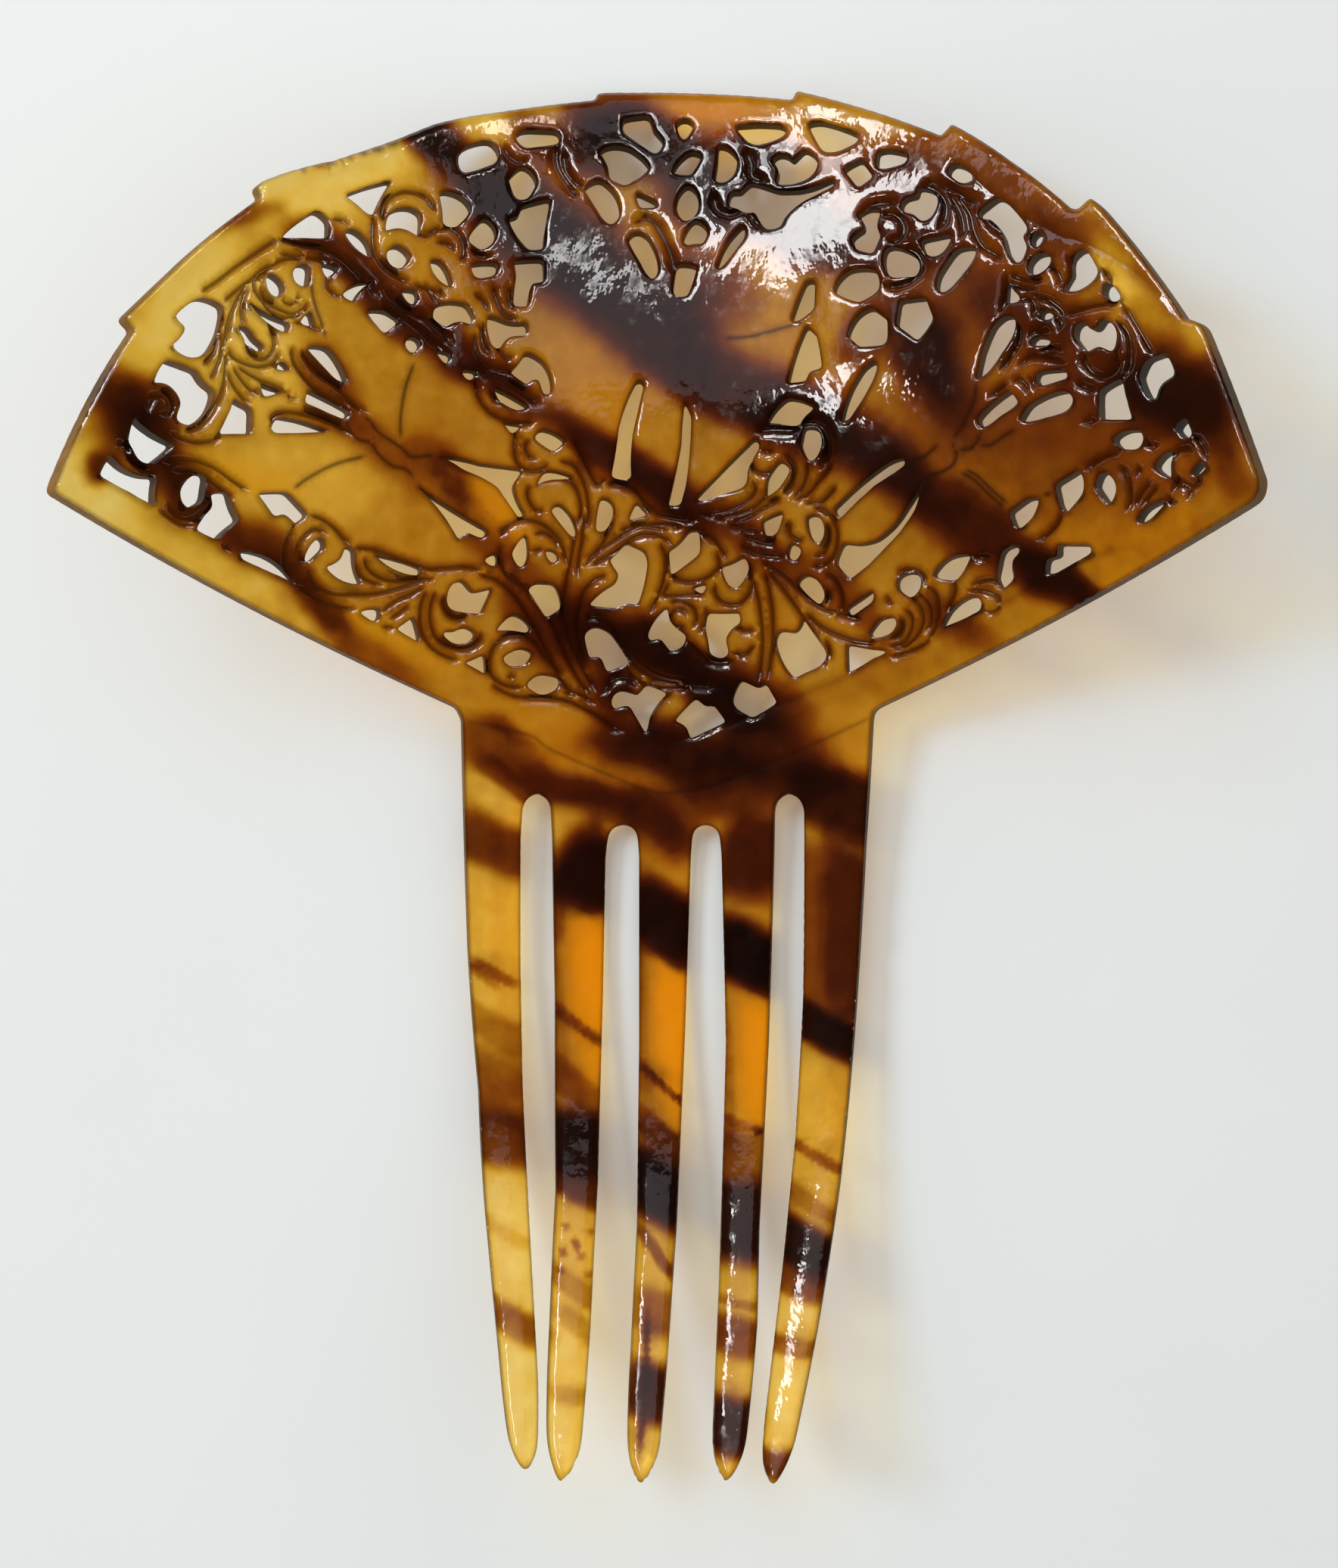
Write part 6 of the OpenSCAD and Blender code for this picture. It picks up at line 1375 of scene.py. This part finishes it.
# dirt and painted shade darken the colour in the cuts and along the rims
dirt_and_shade_amount = add_node(tree, "ShaderNodeMath", {0: cuts, 1: DIRT_AND_SHADE_STRENGTH}, operation="MULTIPLY").outputs[0]
patches = add_node(tree, "ShaderNodeTexNoise", {"Vector": place, "Scale": PATCH_SCALE, "Detail": 6.0,
                                                "Roughness": 0.7})
shine = add_node(tree, "ShaderNodeMapRange", {"Value": patches.outputs["Fac"], "From Min": DULL_START,
                                              "From Max": DULL_FULL, "To Min": SHARP_POLISH,
                                              "To Max": DULL_POLISH}).outputs[0]
drawn = add_node(tree, "ShaderNodeVectorMath", {0: place, 1: RIPPLE_STRETCH}, operation="MULTIPLY").outputs[0]
ripples = add_node(tree, "ShaderNodeTexNoise", {"Vector": drawn, "Scale": RIPPLE_SCALE, "Detail": 3.0})
bump = add_node(tree, "ShaderNodeBump", {"Height": ripples.outputs["Fac"], "Strength": RIPPLE_STRENGTH,
                                         "Distance": RIPPLE_DISTANCE}).outputs[0]
surface = add_node(
    tree, "ShaderNodeBsdfPrincipled",
    {"Base Color": mixed(tree, dirt_and_shade_amount, body, linear(DIRT_AND_SHADE_CODE)), "Roughness": shine, "IOR": CELLULOID_IOR,
     "Transmission Weight": CLEARNESS, "Normal": bump, "Coat Weight": HAZE, "Coat Roughness": HAZE_ROUGHNESS},
).outputs[0]
thin = add_node(tree, "ShaderNodeGamma", {"Color": body, "Gamma": SHADOW_THINNESS}).outputs[0]
let_light_through(tree, surface, mixed(tree, SHADOW_PALE, thin, linear(PALE_AMBER)))
mesh.materials.append(celluloid)
print("polished celluloid has", len(tree.nodes), "nodes")

# %% [markdown]
# ## Sawn sides
# The sides of the gaps were sawn and only scraped, never polished, and a century of dirt sits in them. They look
# dark and dull beside the clear faces, which draws a line round each gap.

# %% Material of the sides
SCRAPED_AMBER, SCRAPED_BROWN, GRIME_CODE, SIDE_SHADE = "#9C6C24", "#24160B", "#2E1D0C", "#C9A873"
SAWN_ROUGHNESS, SAWN_SHINE = 0.6, 0.25
GRIME_SCALE, GRIME_STRENGTH = 0.5, 0.7

sawn, tree = new_material("sawn_celluloid_side")
place = mesh_layer(tree, "sheet_place", "Vector")
grime = add_node(tree, "ShaderNodeTexNoise", {"Vector": place, "Scale": GRIME_SCALE, "Detail": 4.0}).outputs["Fac"]
patchy = add_node(tree, "ShaderNodeMath", {0: grime, 1: GRIME_STRENGTH}, operation="MULTIPLY").outputs[0]
scraped = mixed(tree, mesh_layer(tree, "dye_and_shade"), linear(SCRAPED_AMBER), linear(SCRAPED_BROWN))
surface = add_node(
    tree, "ShaderNodeBsdfPrincipled",
    {"Base Color": mixed(tree, patchy, scraped, linear(GRIME_CODE)), "Roughness": SAWN_ROUGHNESS,
     "IOR": CELLULOID_IOR, "Specular IOR Level": SAWN_SHINE},
).outputs[0]
let_light_through(tree, surface, linear(SIDE_SHADE))
mesh.materials.append(sawn)
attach(comb, "root")
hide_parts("comb")
print("sawn side has", len(tree.nodes), "nodes")

# %% [markdown]
# ## Table and light
# The comb lies on a pale smooth board in a room with windows. A hollow polished sheet mirrors each part of that
# room somewhere, so the lamps share the work. One lights the table and throws the shadow to the right, one
# glows through the sheet from beyond the fan, and the others are only seen as shine, each in the place that
# the part of the fan or of the tooth tips with its white patch mirrors. The pale sky fills the shadows.

# %% Pale table and soft light
FLOOR_SIZE = 3.0
BOARD_CODES = ("#DCDDDC", "#E6E6E4")
BOARD_SCALE, BOARD_ROUGHNESS = 9.0, 0.55
SKY_CODE, SKY_STRENGTH = "#EAEFEF", 0.76
bpy.ops.mesh.primitive_plane_add(size=FLOOR_SIZE, location=(0, 0, 0))
floor = bpy.context.object
floor.name = "pale_table"
table_paint, tree = new_material("pale_satin_board")
table_place = add_node(tree, "ShaderNodeTexCoord")
grain = add_node(tree, "ShaderNodeTexNoise", {"Vector": table_place.outputs["Object"], "Scale": BOARD_SCALE,
                                              "Detail": 6.0})
tone = mixed(tree, grain.outputs["Fac"], *[linear(code) for code in BOARD_CODES])
board = add_node(tree, "ShaderNodeBsdfPrincipled", {"Base Color": tone, "Roughness": BOARD_ROUGHNESS})
add_node(tree, "ShaderNodeOutputMaterial", {"Surface": board.outputs[0]})
floor.data.materials.append(table_paint)


def area_lamp(name, place, size, power, colour, roll):
    """A rectangular lamp that faces the comb's middle."""
    bpy.ops.object.light_add(type="AREA", location=place)
    lamp = bpy.context.object
    lamp.name = name
    lamp.data.shape = "RECTANGLE"
    lamp.data.size, lamp.data.size_y = size
    lamp.data.energy = power
    lamp.data.color = linear(colour)[:3]
    aim = (-Vector(place)).to_track_quat("-Z", "Y") @ Quaternion((0, 0, 1), math.radians(roll))
    lamp.rotation_euler = aim.to_euler()
    return lamp


LAMPS = [
    # name, place and size in metres, power in watts, colour, turn in degrees, what it does
    ("window", (-1.33, 0.46, 1.33), (0.48, 0.48), 18.5, "#FFFFFF", 0, "lights"),
    ("far_window", (-0.40, 1.00, 1.25), (0.60, 0.60), 3.4, "#FFFFFF", 0, "glows"),
    ("window_pane", (-0.43, 1.09, 1.28), (0.34, 0.58), 11.0, "#FFFFFF", 30, "shines"),
    ("curtain_gap", (0.175, 0.84, 1.30), (0.07, 0.42), 1.0, "#FFFFFF", -40, "shines"),
    ("near_pane", (-0.147, 0.130, 0.486), (0.036, 0.09), 0.2, "#FFFFFF", 0, "shines"),
    ("far_pane", (-0.35, 1.30, 0.85), (0.20, 0.22), 2.2, "#FFFFFF", 0, "shines"),
    ("top_pane", (-0.27, 1.20, 1.02), (0.26, 0.20), 1.3, "#FFFFFF", 0, "shines"),
    ("far_shade", (0.285, 1.28, 0.85), (0.12, 0.15), 0.75, "#FFEFDA", 0, "shines"),
    ("far_veil", (0.0, 1.38, 0.82), (0.90, 0.24), 0.5, "#EEF0FF", 0, "shines"),
    ("far_wall", (-0.80, 1.20, 0.72), (0.5, 0.3), 1.0, "#F6ECF4", 0, "shines"),
    ("pale_wall", (0.0, 0.90, 1.55), (1.2, 1.3), 4.0, "#F6ECF4", 0, "shines"),
]
for name, spot, size, power, colour, roll, task in LAMPS:
    lamp = area_lamp(name, spot, size, power, colour, roll)
    lamp.visible_camera = False
    lamp.visible_glossy = task == "shines"
    lamp.visible_diffuse = task != "shines"
    lamp.visible_transmission = task == "glows"
world = bpy.data.worlds.new("studio") if bpy.context.scene.world is None else bpy.context.scene.world
bpy.context.scene.world = world
world.use_nodes = True
sky = world.node_tree.nodes["Background"]
sky.inputs["Color"].default_value = linear(SKY_CODE)
sky.inputs["Strength"].default_value = SKY_STRENGTH
world.cycles_visibility.glossy = False
bpy.context.scene.view_settings.view_transform = "Standard"
print(len(LAMPS), "lamps and a pale sky")
